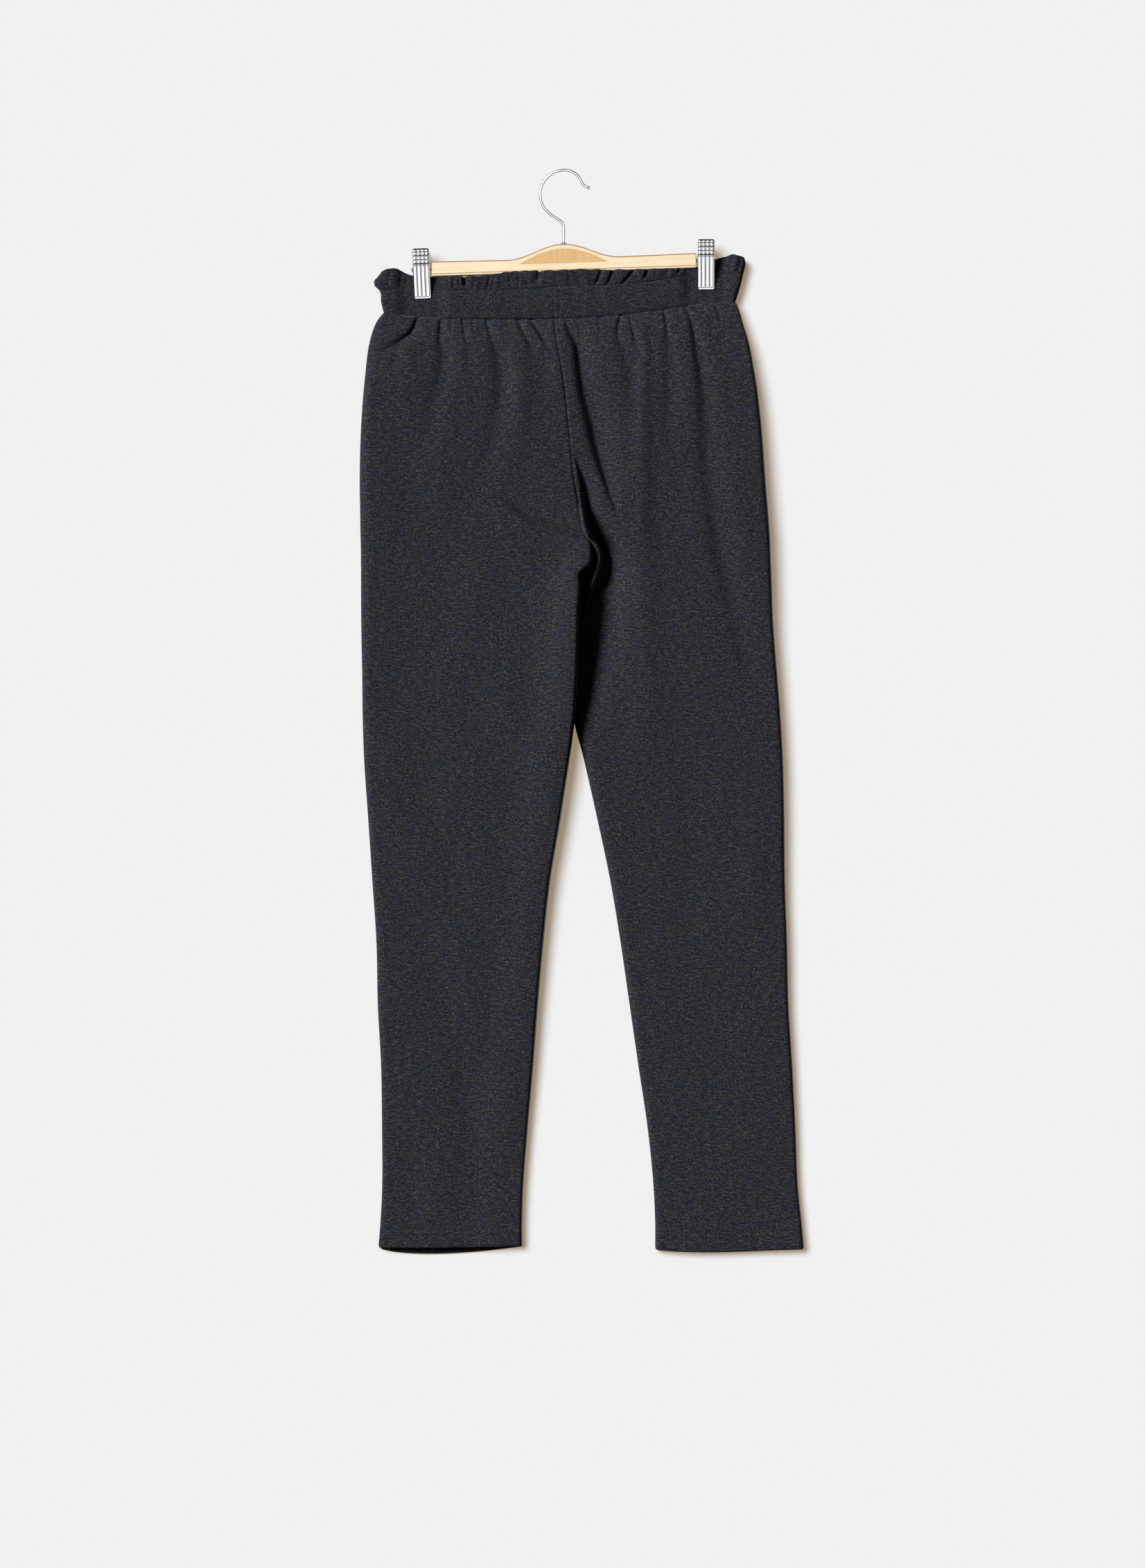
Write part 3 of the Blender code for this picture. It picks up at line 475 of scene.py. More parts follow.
def cloth_piece(name, grid, lie, thick, outward, wraps=False):
    """A wall of cloth on a grid of points, with each point's place on the flat cloth."""
    quads = quads_of(*grid.shape[:2], wraps)[:, :: 1 if outward else -1]
    made = piece_of(name, grid.reshape(-1, 3), quads.tolist(), jersey)
    stored = made.data.attributes.new("lie", "FLOAT_VECTOR", "POINT")
    flat = np.zeros((grid.size // 3, 3), np.float32)
    flat[:, :2] = lie.reshape(-1, 2) * MM
    stored.data.foreach_set("vector", flat.ravel())
    wall = made.modifiers.new("cloth thickness", "SOLIDIFY")
    given(wall, thickness=thick * MM, offset=-1, use_even_offset=False)
    return made


def square_to(run):
    """Level unit vectors to the left of each of a run's directions."""
    beside = np.stack([-run[..., 1], run[..., 0], 0 * run[..., 0]], axis=2)
    return beside / np.maximum(np.linalg.norm(beside, axis=2, keepdims=True), 1e-9)


def run_along(points, axis=0):
    """The length covered up to each point along an axis of a grid of points."""
    steps = np.linalg.norm(np.diff(points, axis=axis), axis=-1)
    return np.insert(np.cumsum(steps, axis=axis), 0, 0, axis=axis)


def turned_edge(outside, turns, inside, radius):
    """How far each row lies behind the face, and beyond the edge, of cloth folded back."""
    over = np.radians(turns)
    behind = np.concatenate([np.zeros(outside), 1 - np.cos(over), np.full(inside, 2)])
    beyond = np.concatenate([np.zeros(outside), np.sin(over), np.zeros(inside)])
    return radius * behind, radius * beyond


def leg_heights():
    """Heights of a panel's rows, close together where the cloth is worked."""
    spans = ((-146, 0.8), (-150, 1.4), (-182, 3.4), (-270, 3), (-330, 1.6), (-412, 2.6), (-470, 4.2))
    spans += ((-560, 8), (HEM + HEM_ZONE, None))  # where each spacing starts
    heights = []
    for (high, step), (low, _) in zip(spans, spans[1:]):
        count = round((high - low) / step)
        heights += [high + (low - high) * i / count for i in range(count)]
    return np.array(heights)


def panel(side, face):
    """A quarter of the trousers from the waist seam to the turned-up hem."""
    shown = np.concatenate([leg_heights(), np.linspace(HEM + HEM_ZONE, HEM + HEM_ROLL, HEM_ROWS)])
    rolls = np.radians(HEM_ROLL_TURNS)
    turned_up = np.linspace(HEM + HEM_ROLL, HEM + HEM_TURNED, TURNED_ROWS)
    height = np.concatenate([shown, np.full(len(rolls), HEM + HEM_ROLL), turned_up])
    inset, dropped = turned_edge(len(shown), HEM_ROLL_TURNS, TURNED_ROWS, HEM_ROLL)
    rolled = shown[-1] - HEM_ROLL * rolls
    past_roll = rolled[-1] - HEM_ROLL * (math.pi - rolls[-1])
    unrolled = np.concatenate([shown, rolled, past_roll - turned_up + turned_up[0]])
    h = height[:, None]

    sign = -1 if face == "back" else 1
    inward = 1 if side == "left" else -1
    outer = along(OUTLINE, f"{side}_outer", h)
    inner = along(OUTLINE, f"{side}_inner", h)
    level = along(OUTLINE, "left_inner", h) + (LEG_GAP if side == "right" else 0)
    if side == "right":
        inner = np.where(h <= CROTCH, np.maximum(inner, level), inner)
    if face == "front":
        inner = np.where((h < LAP_TOP) & (h > LAP_FOOT), level, inner)
    outer_fold = along(DEPTH, "outer_fold", h)
    inner_fold = along(DEPTH, f"{side if face == 'back' else 'left'}_inner_fold", h)
    turned = 1 - eased(CROTCH, CROTCH + INSEAM_RUN, h)
    inner = inner - inward * SEAM_GAP / 2 * (1 - turned)
    width = np.abs(inner - outer)

    turns = np.linspace(0, math.pi / 2, EDGE_STEPS)
    flat = np.linspace(0, 1, FLAT_COLUMNS[face])[1:-1]
    near = EDGE_ZONE * (1 - np.cos(turns) ** 0.7) + 0 * h
    between = EDGE_ZONE + flat * (width - 2 * EDGE_ZONE)
    distance = np.concatenate([near, between, width - near[:, ::-1]], axis=1)
    from_inner = width - distance
    outer_tight, inner_tight = TIGHT[side]
    rise = squared(distance / (outer_tight * outer_fold))
    rise = rise * (1 + turned * (squared(from_inner / (inner_tight * inner_fold)) - 1))

    x = outer + inward * distance
    z = h + np.zeros(x.shape)
    lifted = z + (along(BAND, "seam", x) - WAIST) * (1 - eased(0, WAIST_FALL, WAIST - h))
    lean = LEAN[side] if face == "back" else 0.0
    crown = 1 + 2 * lean * (distance / width - 0.5) * (1 - eased(LEAN_FULL, LEAN_NONE, h))
    full = along(DEPTH, face, h) * crown
    full = full + swell(x, z, SWELL_SEEDS[side, face]) * eased(0, SWELL_FALL, WAIST - h)
    if face == "back":
        folds = FOLDS[side]
    else:
        folds = [[(-fx, *rest) for fx, *rest in line] for line in FOLDS[OTHER_SIDE[side]][2:]]
    for line in folds:
        full = full - fold_depth(line, x, lifted)
    full = full - puckers(x, WAIST - h, PUCKER_SEEDS[side])
    y = np.maximum(full, THINNEST) * rise
    seam = np.exp(-((from_inner / SEAM_REACH) ** 2)) * (1 - turned)
    seam = seam + WAIST_DIP * np.exp(-(((WAIST - h) / SEAM_REACH) ** 2)) * (distance > 2)
    y = y - SEAM_DIP * seam
    above_hem = h - HEM
    for row in STITCH_ROWS:
        y = y - STITCH_DIP * np.exp(-(((above_hem - row) / STITCH_REACH) ** 2))
    y = y + HEM_PROUD * eased(0, 1, (HEM_TURNED - above_hem) / 4)
    if face == "front":
        y = np.minimum(y, WALL_TOP + (WALL_TOP - WALL_FOOT) * h / WALL_RUN - WALL_CLEAR)
    y = sign * np.maximum(y, SEAM_GAP / 2)

    at_outer, at_inner, sag, lowest = HEM_EDGE[side, face]
    share = distance / width
    bowed = share ** (math.log(0.5) / math.log(lowest))
    edge = at_outer + (at_inner - at_outer) * share - sag * 4 * bowed * (1 - bowed)
    z = lifted - SEAM_GAP / 2 + (edge - HEM) * eased(0, HEM_FALL, HEM + HEM_FALL - h) - dropped[:, None]

    grid = np.stack([x, y, z], axis=2)
    grid = grid - square_to(np.gradient(grid, axis=1)) * sign * inward * inset[:, None, None]

    across = run_along(grid, axis=1)
    across = (across - across[:, -1:] / 2) * inward
    up = unrolled[:, None] - LEG_SLANT[side] * (1 - eased(SLANT_FULL, SLANT_FROM, h)) * across
    across = across + (LEFT_LIES if side == "left" else 0)
    lie = np.stack([across, up + (FRONT_LIES if face == "front" else 0)], axis=2)
    outward = (inward > 0) == (face == "back")
    made = cloth_piece(f"{face}_{side}_panel", grid, lie, CLOTH_THICK, outward)
    return made, [grid[np.argmin(np.abs(shown - HEM - row))] for row in STITCH_ROWS]


sewn_lines, cloth_things = [], []
for panel_face in ("back", "front"):
    for panel_side in ("left", "right"):
        leg, hem_lines = panel(panel_side, panel_face)
        sewn_lines += [(line, -1 if panel_face == "back" else 1) for line in hem_lines]
        cloth_things.append(leg)
        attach(leg, "root")
        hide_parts(f"{panel_face}_{panel_side}")

# --- waistband ------------------------------
# One strip of the same jersey, folded over 25 mm elastic and stitched below its
# upper edge, so that what stands above the stitching flutes into a ruffle. Its
# ends meet at the centre back, and each clip pinches it flat.

BAND_LEVELS = (
    ("rise", "left", "right", "depth"),
    (0, -183, 171.8, 5),
    (0.5, -185.8, 176.6, 5.9),
    (1, -187, 180.2, 6),
    (1.35, -192.4, 181.6, 6.2),
    (1.7, -192.2, 182.6, 6.8),
    (2, -186.4, 181.4, 7.2),
)
BAND_THICK, STRIP_THICK = 1.9, 0.8  # two layers of the strip apart, and one layer
CASING_ROWS, RUFFLE_ROWS, INSIDE_ROWS = 26, 18, 20
RUFFLE_TURNS = (30, 60, 90, 120, 150)  # degrees over the folded edge
CORNER, CORNER_STEPS, BAND_COLUMNS = 5.0, 8, 336
PINCH, PINCH_HALF, PINCH_REACH = 3.0, 15, 14
CLIP_AT = (-145.0, 142.1)
CENTRE_SEAM_AT = -11.0  # where the strip's two ends meet
FLUTE_SEED, PLEAT_SEED = 21, 8
BAND_LIES, BAND_FRONT_LIES = 2700, 900  # where the strip lies on the flat cloth
STRIP_EASE = 1.15  # the flat strip is that much longer than the ruffled band
MEASURED_ROW, MEASURED_COLUMN, CASING_MIDDLE = 30, 100, 12
RUFFLE_OPEN, CASING_ROUND, BAND_WRINKLE = 0.5, 0.35, 0.35
STITCH_TUCK, STITCH_TUCK_AT, STITCH_TUCK_RUN = 1.3, 1.02, 0.035  # how deep, and where in rises
SEAM_TUCK, SEAM_TUCK_RUN = 0.9, 0.04
CENTRE_SEAM_HALF, CENTRE_SEAM_TOP = 0.8, 1.15  # the groove of the ends' seam, and the rise where it fades
EDGE_FLUTE, NOTCH_STEEP = 0.4, 1.5  # how the ruffle's top edge waves, and dips at a deep pleat
NOTCH_FROM, NOTCH_MOST = 2.2, 1.4  # a pleat deeper than the first also dips the top edge
LEAST_HALF = 0.9  # two layers of the strip at their thinnest
# Deep pleats in the ruffle: where each starts at the stitching and ends at the top
# edge, how deep it is and how wide its slopes are to the left and right.
BACK_PLEATS = (
    ("foot", "foot rise", "head", "head rise", "depth", "left", "right"),
    (-178, 1.25, -177, 1.9, 1.6, 1.6, 1.8),
    (-167, 1.1, -166, 1.8, 2.2, 1.3, 1.5),
    (-161, 1.15, -160, 1.9, 1.6, 1.2, 1.4),
    (-119, 1.15, -118, 1.9, 1.5, 1.2, 1.6),
    (-113, 1.2, -112.5, 1.8, 1.8, 1.1, 1.5),
    (-107.5, 1.15, -107, 2, 1.6, 1.1, 1.3),
    (-101, 1.35, -101.8, 2, 5, 1.8, 2.6),
    (-92, 1.1, -91.5, 1.7, 1.4, 1.1, 1.3),
    (-79, 1.05, -76.5, 1.9, 2.3, 1.3, 1.9),
    (-74.5, 1.05, -73, 1.5, 1.3, 1, 1.4),
    (-66, 1.15, -65.5, 1.8, 1.4, 1.2, 1.4),
    (-55, 1.1, -56, 1.6, 1.8, 1.2, 1.5),
    (-47.5, 1.1, -47, 1.9, 1.8, 1.3, 1.8),
    (-38, 1.2, -37.5, 1.7, 1.2, 1.2, 1.4),
    (-27, 1.45, -26, 1.95, 4.2, 2.6, 3),
    (4, 1.1, 3, 1.9, 1.6, 1.8, 2.2),
    (16.5, 1.15, 10.5, 1.9, 2.2, 2.4, 2),
    (31.2, 1.1, 36.4, 2, 3.5, 1.4, 2.1),
    (42.8, 1.1, 48.2, 2, 3.5, 1.4, 2.1),
    (57.8, 1.05, 68.6, 2, 4.3, 1.6, 2.4),
    (79.4, 1.3, 83.2, 2, 3.4, 1.4, 2),
    (90.5, 1.2, 92, 1.9, 1.6, 1.3, 1.6),
    (101, 1.3, 103.5, 1.9, 1.4, 1.4, 1.8),
    (113.5, 1.45, 116.6, 2, 3, 1.4, 2),
    (121, 1.3, 122.5, 1.9, 1.2, 1.2, 1.4),
    (157, 1.1, 160.5, 1.7, 1.8, 1.5, 1.8),
    (166, 1.2, 169, 1.9, 1.6, 1.8, 2),
    (174.5, 1.2, 176.5, 1.8, 1.4, 1.4, 1.6),
)


def pinch_share(x):
    """1 between a clip's jaws, 0 well away from them."""
    share = np.zeros(x.shape)
    for at in CLIP_AT:
        share = np.maximum(share, 1 - eased(PINCH_HALF, PINCH_HALF + PINCH_REACH, np.abs(x - at)))
    return share


def pleated(x, rise, pleats):
    """How deep the pleats press the ruffle; each fades in at its foot, and a little at its head."""
    total = np.zeros(x.shape)
    for foot, foot_rise, head, head_rise, depth, left, right in pleats:
        share = (rise - foot_rise) / (head_rise - foot_rise)
        line = foot + (head - foot) * np.clip(share, -0.3, 1.6)
        wide = np.where(x < line, left, right)
        ends = eased(-0.25, 0.25, share) * (1 - 0.3 * eased(0.9, 1.5, share))
        total += 0.7 * depth * ends * np.exp(-(((x - line) / wide) ** 2))
    return total


def front_pleats():
    """Pleats of the same kind along the side that faces away."""
    draw = np.random.default_rng(PLEAT_SEED)
    made = []
    at = -182.0
    while at < 178:
        lean, deep, foot_rise = draw.uniform(-5, 5), draw.uniform(1.2, 4.8), draw.uniform(1.05, 1.4)
        left, right = draw.uniform(1.3, 2.2), draw.uniform(1.3, 2.6)
        made.append((at, foot_rise, at + lean, 2.0, deep, left, right))
        at += draw.uniform(6, 15)
    return made


def fluted(x, seed):
    """A run of soft uneven waves along the ruffle, from -1 to 1."""
    draw = np.random.default_rng(seed)
    at, turn = np.linspace(-200, 200, 400), np.zeros(400)
    step = at[1] - at[0]
    for i in range(1, 400):
        turn[i] = turn[i - 1] + 2 * math.pi * step / (15 + 5 * math.sin(at[i] / 31 + draw.uniform(0, 0.2)))
    return np.sin(np.interp(x, at, turn))


def waistband():
    """A closed ring: up the outside, over the folded edge and down the inside."""
    outside = CASING_ROWS + RUFFLE_ROWS
    casing, ruffle = np.linspace(0, 1, CASING_ROWS), np.linspace(1, 2, RUFFLE_ROWS + 1)[1:]
    inside, folded = np.linspace(2, 0, INSIDE_ROWS), np.full(len(RUFFLE_TURNS), 2.0)
    rise = np.concatenate([casing, ruffle, folded, inside])
    inset, lifted = turned_edge(outside, RUFFLE_TURNS, INSIDE_ROWS, BAND_THICK / 2)

    share = rise[:, None]
    left, right, depth = (along(BAND_LEVELS, name, share) for name in ("left", "right", "depth"))
    turns = np.linspace(0, math.pi / 2, CORNER_STEPS)
    flat = np.linspace(0, 1, BAND_COLUMNS)[1:-1]
    starts = left + CORNER * (1 - np.cos(turns))
    runs = left + CORNER + flat * (right - left - 2 * CORNER)
    ends = right - CORNER * (1 - np.cos(turns[::-1]))
    x = np.concatenate([starts, runs, ends], axis=1)
    level = np.concatenate([np.sin(turns), np.ones(len(flat)), np.sin(turns[::-1])])

    above = np.clip(share - 1, 0, 1)
    pinched = pinch_share(x)
    seam_z = along(BAND, "seam", x) + SEAM_GAP / 2
    stitch_z = along(BAND, "stitching", x)
    low = seam_z + (stitch_z - seam_z) * np.minimum(share, 1)
    sides = []
    for sign, pleats, seed in ((-1, BACK_PLEATS[1:], FLUTE_SEED), (1, front_pleats(), FLUTE_SEED + 1)):
        deep = depth + (along(BAND, "depth", x) - depth) * eased(0, 1, above)
        deep = deep + RUFFLE_OPEN * above**0.7 * (1 + fluted(x, seed))
        tuck = np.exp(-(((share - STITCH_TUCK_AT) / STITCH_TUCK_RUN) ** 2))
        deep = deep - STITCH_TUCK * tuck * (share < 1.3)
        deep = deep - SEAM_TUCK * np.exp(-((share / SEAM_TUCK_RUN) ** 2))
        if sign < 0:
            groove = np.exp(-(((x - CENTRE_SEAM_AT) / CENTRE_SEAM_HALF) ** 2))
            deep = deep - groove * np.clip(CENTRE_SEAM_TOP - share, 0, 1)
        deep = deep + CASING_ROUND * np.sin(math.pi * np.clip(share, 0, 1)) ** 2
        deep = deep + (PINCH - deep) * pinched
        cut = pleated(x, share, pleats) * (1 - 0.8 * pinched)
        wrinkle = swell(x * 3.0, share * 60, seed) * BAND_WRINKLE * np.clip(share * 6, 0, 1)
        deep = np.maximum(deep - cut, LEAST_HALF) + wrinkle * (1 - pinched)
        notched = NOTCH_STEEP * np.clip(cut - NOTCH_FROM, 0, NOTCH_MOST)
        waved = EDGE_FLUTE * fluted(x + 4, seed) - notched
        edge = along(BAND, "top", x) + waved * (1 - 0.7 * pinched)
        z = low + (edge - stitch_z) * above + lifted[:, None]
        side = np.stack([x, sign * level * deep, z], axis=2)
        sides.append(side[:, :-1] if sign < 0 else side[:, ::-1][:, :-1])
    grid = np.concatenate(sides, axis=1)
    run = np.roll(grid, -1, axis=1) - np.roll(grid, 1, axis=1)
    grid = grid + square_to(run) * inset[:, None, None]

    # a point's place on the flat strip: along one row of the ruffle, let out, and up one column
    across = grid[MEASURED_ROW, :, 0] * STRIP_EASE + BAND_FRONT_LIES * (grid[0, :, 1] > 0)
    up = run_along(grid[:, MEASURED_COLUMN])[:, None] + BAND_LIES
    lie = np.stack(np.broadcast_arrays(across, up), axis=2)
    made = cloth_piece("waistband_cloth", grid, lie, STRIP_THICK, outward=True, wraps=True)
    back, front = np.split(grid, 2, axis=1)
    centre = np.argmin(np.abs(back[CASING_MIDDLE, :, 0] - CENTRE_SEAM_AT)) + 1
    return made, [(back[CASING_ROWS], -1), (front[CASING_ROWS], 1), (back[1 : outside - 1, centre], -1)]


band, band_lines = waistband()
sewn_lines += band_lines
cloth_things.append(band)
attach(band, "root")
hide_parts("waistband")

# --- stitching ------------------------------
# Spun polyester thread, dyed to the cloth: a twin needle's two rows round each hem,
# one row round the waistband below the ruffle, and the centre back seam's row.

STITCH_PITCH, STITCH_LONG, THREAD = 3.0, 2.3, 0.2
STITCH_MARGIN, THREAD_SIDES = 1.5, 6
# A stitch's arch: how far along it, and how high over the cloth.
STITCH_ARCH = ((0, -0.25), (0.2, 0.12), (0.5, 0.2), (0.8, 0.12), (1, -0.25))


def thread_finish():
    """Dull, slightly fibrous thread, a shade paler than the cloth."""
    made = finish_of("spun polyester thread")
    place = add(made, "TexCoord").outputs["Object"]
    twist = add(made, "TexNoise", {"Vector": place, "Scale": 1 / (0.4 * MM), "Detail": 2})
    shade = add(made, "ValToRGB", {0: twist}, ((0, "#1b1b1f"), (1, "#3a3a40")))
    bump = add(made, "Bump", {"Height": twist, "Strength": 0.5, "Distance": 0.1 * MM})
    inputs = {"Base Color": shade, "Roughness": 0.75, "Normal": bump}
    add(made, "OutputMaterial", {"Surface": add(made, "BsdfPrincipled", inputs)})
    return made


def stitches(lines):
    """One small loop of thread at each pitch along each line, its ends down in the cloth."""
    points, faces = [], []
    shares, lifts = np.array(STITCH_ARCH).T
    loop = quads_of(len(shares), THREAD_SIDES, wraps=True)
    turns = [2 * math.pi * k / THREAD_SIDES for k in range(THREAD_SIDES)]
    for line, sign in lines:
        run = run_along(line)
        start = STITCH_MARGIN
        while start + STITCH_LONG < run[-1] - STITCH_MARGIN:
            at = start + STITCH_LONG * shares
            places = np.stack([np.interp(at, run, line[:, k]) for k in range(3)], axis=1)
            ahead = places[-1] - places[0]
            ahead /= np.linalg.norm(ahead)
            out = np.array([0.0, sign, 0.0]) - ahead * ahead[1] * sign
            out /= np.linalg.norm(out)
            beside = np.cross(ahead, out)
            faces += (loop + len(points)).tolist()
            for centre in places + out * lifts[:, None]:
                points += [centre + THREAD * (out * math.cos(t) + beside * math.sin(t)) for t in turns]
            start += STITCH_PITCH
    return piece_of("seam_stitching", points, faces, thread_finish())


stitching = stitches(sewn_lines)
cloth_things.append(stitching)
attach(stitching, "root")

# --- hanger bar ------------------------------
# A bar of steamed beech, bent up into a hump over a lens-shaped inlay whose grain
# stands upright. It is sanded, its edges are scorched brown, and it is lacquered. The
# chamfer under the lower edge is lightened as a painted highlight, and the very foot of
# that edge is darkened as painted shade.

BAR_CENTRE = Vector((-1.4, 0, -94.4))
BAR_TILT = math.radians(1.85)
BAR_LENGTH, BAR_THICK = 268, 11
BAR_END_HALF, BAR_NECK_HALF = 7.5, 6.6
HUMP_RISE, HUMP_HALF = 14.5, 57
INLAY_HALF, INLAY_FLOOR, INLAY_RISE, INLAY_RECESS = 44.6, 1.8, 14.2, 0.15
# the edge brown serves both the burnt edge lines and a painted shade line at the foot of the lower edge
BEECH_PALE, BEECH_MID, BEECH_SCORCH_AND_SHADE = "#fce9c6", "#efd194", "#b0702d"
INLAY_PALE, INLAY_MID = "#e7ba7a", "#d59f5b"
INLAY_GRAIN_LONG, INLAY_GRAIN_HIGH = 60, 0.8
GRAIN_LONG, GRAIN_DEEP, GRAIN_HIGH = 90, 6, 0.9  # growth rings run the length of the bar
EDGE_REACH = 5  # how far the scorching, painted highlight and painted shade are worked out from an edge
WORN_LONG = 16  # how long the places are where the scorching and the painted shade fade
BAR_END_RUN = 34


def placed(centre, tilt):
    """A frame at a point in millimetres, turned in the plane of the bar."""
    return Matrix.Translation(centre * MM) @ Matrix.Rotation(-tilt, 4, "Y")


def scorch_and_painted_light(made, place, colour, edge):
    """Brown burnt edge lines, a painted highlight on the lower chamfer, painted shade at the lower edge's
    foot.
    """
    axes = add(made, "SeparateXYZ", {0: place})
    found = {"x": axes.outputs["X"], "z": axes.outputs["Z"]}
    widening = (BAR_END_HALF - BAR_NECK_HALF) / (BAR_LENGTH / 2 - HUMP_HALF)
    # each step of the way to the distances from the upper and the lower edge
    for name, operation, first, second in (
        ("along", "ABSOLUTE", "x", 0),
        ("share", "MULTIPLY", "along", 1 / (HUMP_HALF * MM)),
        ("share", "MINIMUM", "share", 1),
        ("turn", "MULTIPLY", "share", math.pi / 2),
        ("wave", "COSINE", "turn", 0),
        ("wave", "MULTIPLY", "wave", "wave"),
        ("hump", "MULTIPLY", "wave", HUMP_RISE * MM),
        ("beyond", "SUBTRACT", "along", HUMP_HALF * MM),
        ("beyond", "MAXIMUM", "beyond", 0),
        ("beyond", "MULTIPLY", "beyond", widening),
        ("top", "ADD", "hump", "beyond"),
        ("top", "ADD", "top", BAR_NECK_HALF * MM),
        ("upper", "SUBTRACT", "top", "z"),
        ("lower", "ADD", "z", BAR_END_HALF * MM),
        ("upper", "MULTIPLY", "upper", 1 / (EDGE_REACH * MM)),
        ("lower", "MULTIPLY", "lower", 1 / (EDGE_REACH * MM)),
    ):
        inputs = {0: found.get(first, first), 1: found.get(second, second)}
        found[name] = add(made, "Math", inputs, operation=operation)
    # how strong each line is at each distance in millimetres
    for name, edge_of, *stops in (
        # a strip of painted highlight on the chamfer under the lower edge
        ("chamfer", "lower", (0.5, 0), (0.8, 0.8), (1.7, 0.8), (2.1, 0)),
        ("upper line", "upper", (0, 0.95), (1.0, 0.95), (1.3, 0.2), (1.9, 0)),
        # darkest at the very foot of the lower edge as painted shade, then a burnt line above the chamfer
        ("lower line and painted shade", "lower", (0, 0.9), (0.5, 0), (1.7, 0), (2.0, 0.9), (2.6, 0.9), (3.1, 0)),
    ):
        stops = [(at / EDGE_REACH, (amount, amount, amount, 1)) for at, amount in stops]
        found[name] = add(made, "ValToRGB", {0: found[edge_of]}, stops)
    # lightens the wood on the chamfer as a painted highlight
    pale = {0: found["chamfer"], 6: colour, 7: "#fff3df"}
    colour = add(made, "Mix", pale, data_type="RGBA").outputs[2]
    at = add(made, "Mapping", {"Vector": place, "Scale": [1 / (WORN_LONG * MM), 0, 0]})
    patchy = add(made, "TexNoise", {"Vector": at, "Scale": 1.0, "Detail": 3})
    worn = add(made, "MapRange", {0: patchy, "From Min": 0.3, "From Max": 0.5, "To Min": 0.7})
    # both burnt lines, and the painted shade at the lower foot, take the edge brown
    lines = add(made, "Math", {0: found["upper line"], 1: found["lower line and painted shade"]}, operation="MAXIMUM")
    amount = add(made, "Math", {0: lines, 1: worn}, operation="MULTIPLY")
    return add(made, "Mix", {0: amount, 6: colour, 7: edge}, data_type="RGBA").outputs[2]


def lacquered_wood(name, pale, mid, edge, long, high, upright=False):
    """Clear satin lacquer over close grain, with burnt edges if their colour is given.

    The same edge work paints a highlight on the lower chamfer and shade at the lower edge's foot.
    """
    made = finish_of(name)
    place = add(made, "TexCoord").outputs["Object"]
    size = [1 / (long * MM), 1 / (GRAIN_DEEP * MM), 1 / (high * MM)]
    at = add(made, "Mapping", {"Vector": place, "Scale": size[::-1] if upright else size})
    grain = add(made, "TexNoise", {"Vector": at, "Scale": 1.0, "Detail": 4, "Roughness": 0.6})
    colour = add(made, "ValToRGB", {0: grain}, ((0.32, mid), (0.58, pale)))
    # burnt edges, with a painted highlight on the lower chamfer and painted shade at its foot
    if edge:
        colour = scorch_and_painted_light(made, place, colour, edge)
    inputs = {
        "Base Color": colour,
        "Roughness": 0.38,
        "IOR": 1.5,
        "Coat Weight": 0.25,
        "Coat Roughness": 0.2,
        "Normal": add(made, "Bump", {"Height": grain, "Strength": 0.2, "Distance": 0.1 * MM}),
    }
    add(made, "OutputMaterial", {"Surface": add(made, "BsdfPrincipled", inputs)})
    return made


beech = lacquered_wood("lacquered beech", BEECH_PALE, BEECH_MID, BEECH_SCORCH_AND_SHADE, GRAIN_LONG, GRAIN_HIGH)
inlay_look = (INLAY_PALE, INLAY_MID, None, INLAY_GRAIN_LONG, INLAY_GRAIN_HIGH)
inlay_wood = lacquered_wood("lacquered cross-grained inlay", *inlay_look, upright=True)


def hump_top(x):
    """The bar's upper edge above its centre line."""
    share = min(abs(x) / HUMP_HALF, 1)
    beyond = max(abs(x) - HUMP_HALF, 0) / (BAR_LENGTH / 2 - HUMP_HALF)
    edge = BAR_NECK_HALF + (BAR_END_HALF - BAR_NECK_HALF) * beyond
    return edge + HUMP_RISE * math.cos(math.pi * share / 2) ** 2


def lens(grow):
    """The inlay's outline: a straight floor under an arch."""
    half = INLAY_HALF + grow
    xs = [half * math.sin(math.pi / 2 * (1 - i / 24)) for i in range(49)]
    arch = [(x, INLAY_FLOOR + grow + INLAY_RISE * math.cos(math.pi * x / 2 / half)) for x in xs]
    return [(-half, INLAY_FLOOR - grow), (half, INLAY_FLOOR - grow), *arch[1:-1]]


def board(name, outline, half_thick, finish, matrix):
    """An outline in X and Z made as thick as stated."""
    points = [(x, -half_thick, z) for x, z in outline] + [(x, half_thick, z) for x, z in outline]
    count = len(outline)
    faces = [tuple(range(count)), tuple(range(2 * count - 1, count - 1, -1))]
    faces += [((i + 1) % count, i, count + i, count + (i + 1) % count) for i in range(count)]
    made = piece_of(name, points, faces, finish, smooth=False)
    made.matrix_world = matrix
    return made


def eased_edges(made, width, steps):
    """Rounds every sharp edge."""
    ease = made.modifiers.new("eased edges", "BEVEL")
    given(ease, width=width * MM, segments=steps, limit_method="ANGLE", angle_limit=math.radians(40))


def even_flats(made):
    """Shades the rounds round and keeps the flats flat."""
    made.data.polygons.foreach_set("use_smooth", [True] * len(made.data.polygons))
    made.data.set_sharp_from_angle(angle=math.radians(35))
    given(made.modifiers.new("even flats", "WEIGHTED_NORMAL"), keep_sharp=True)


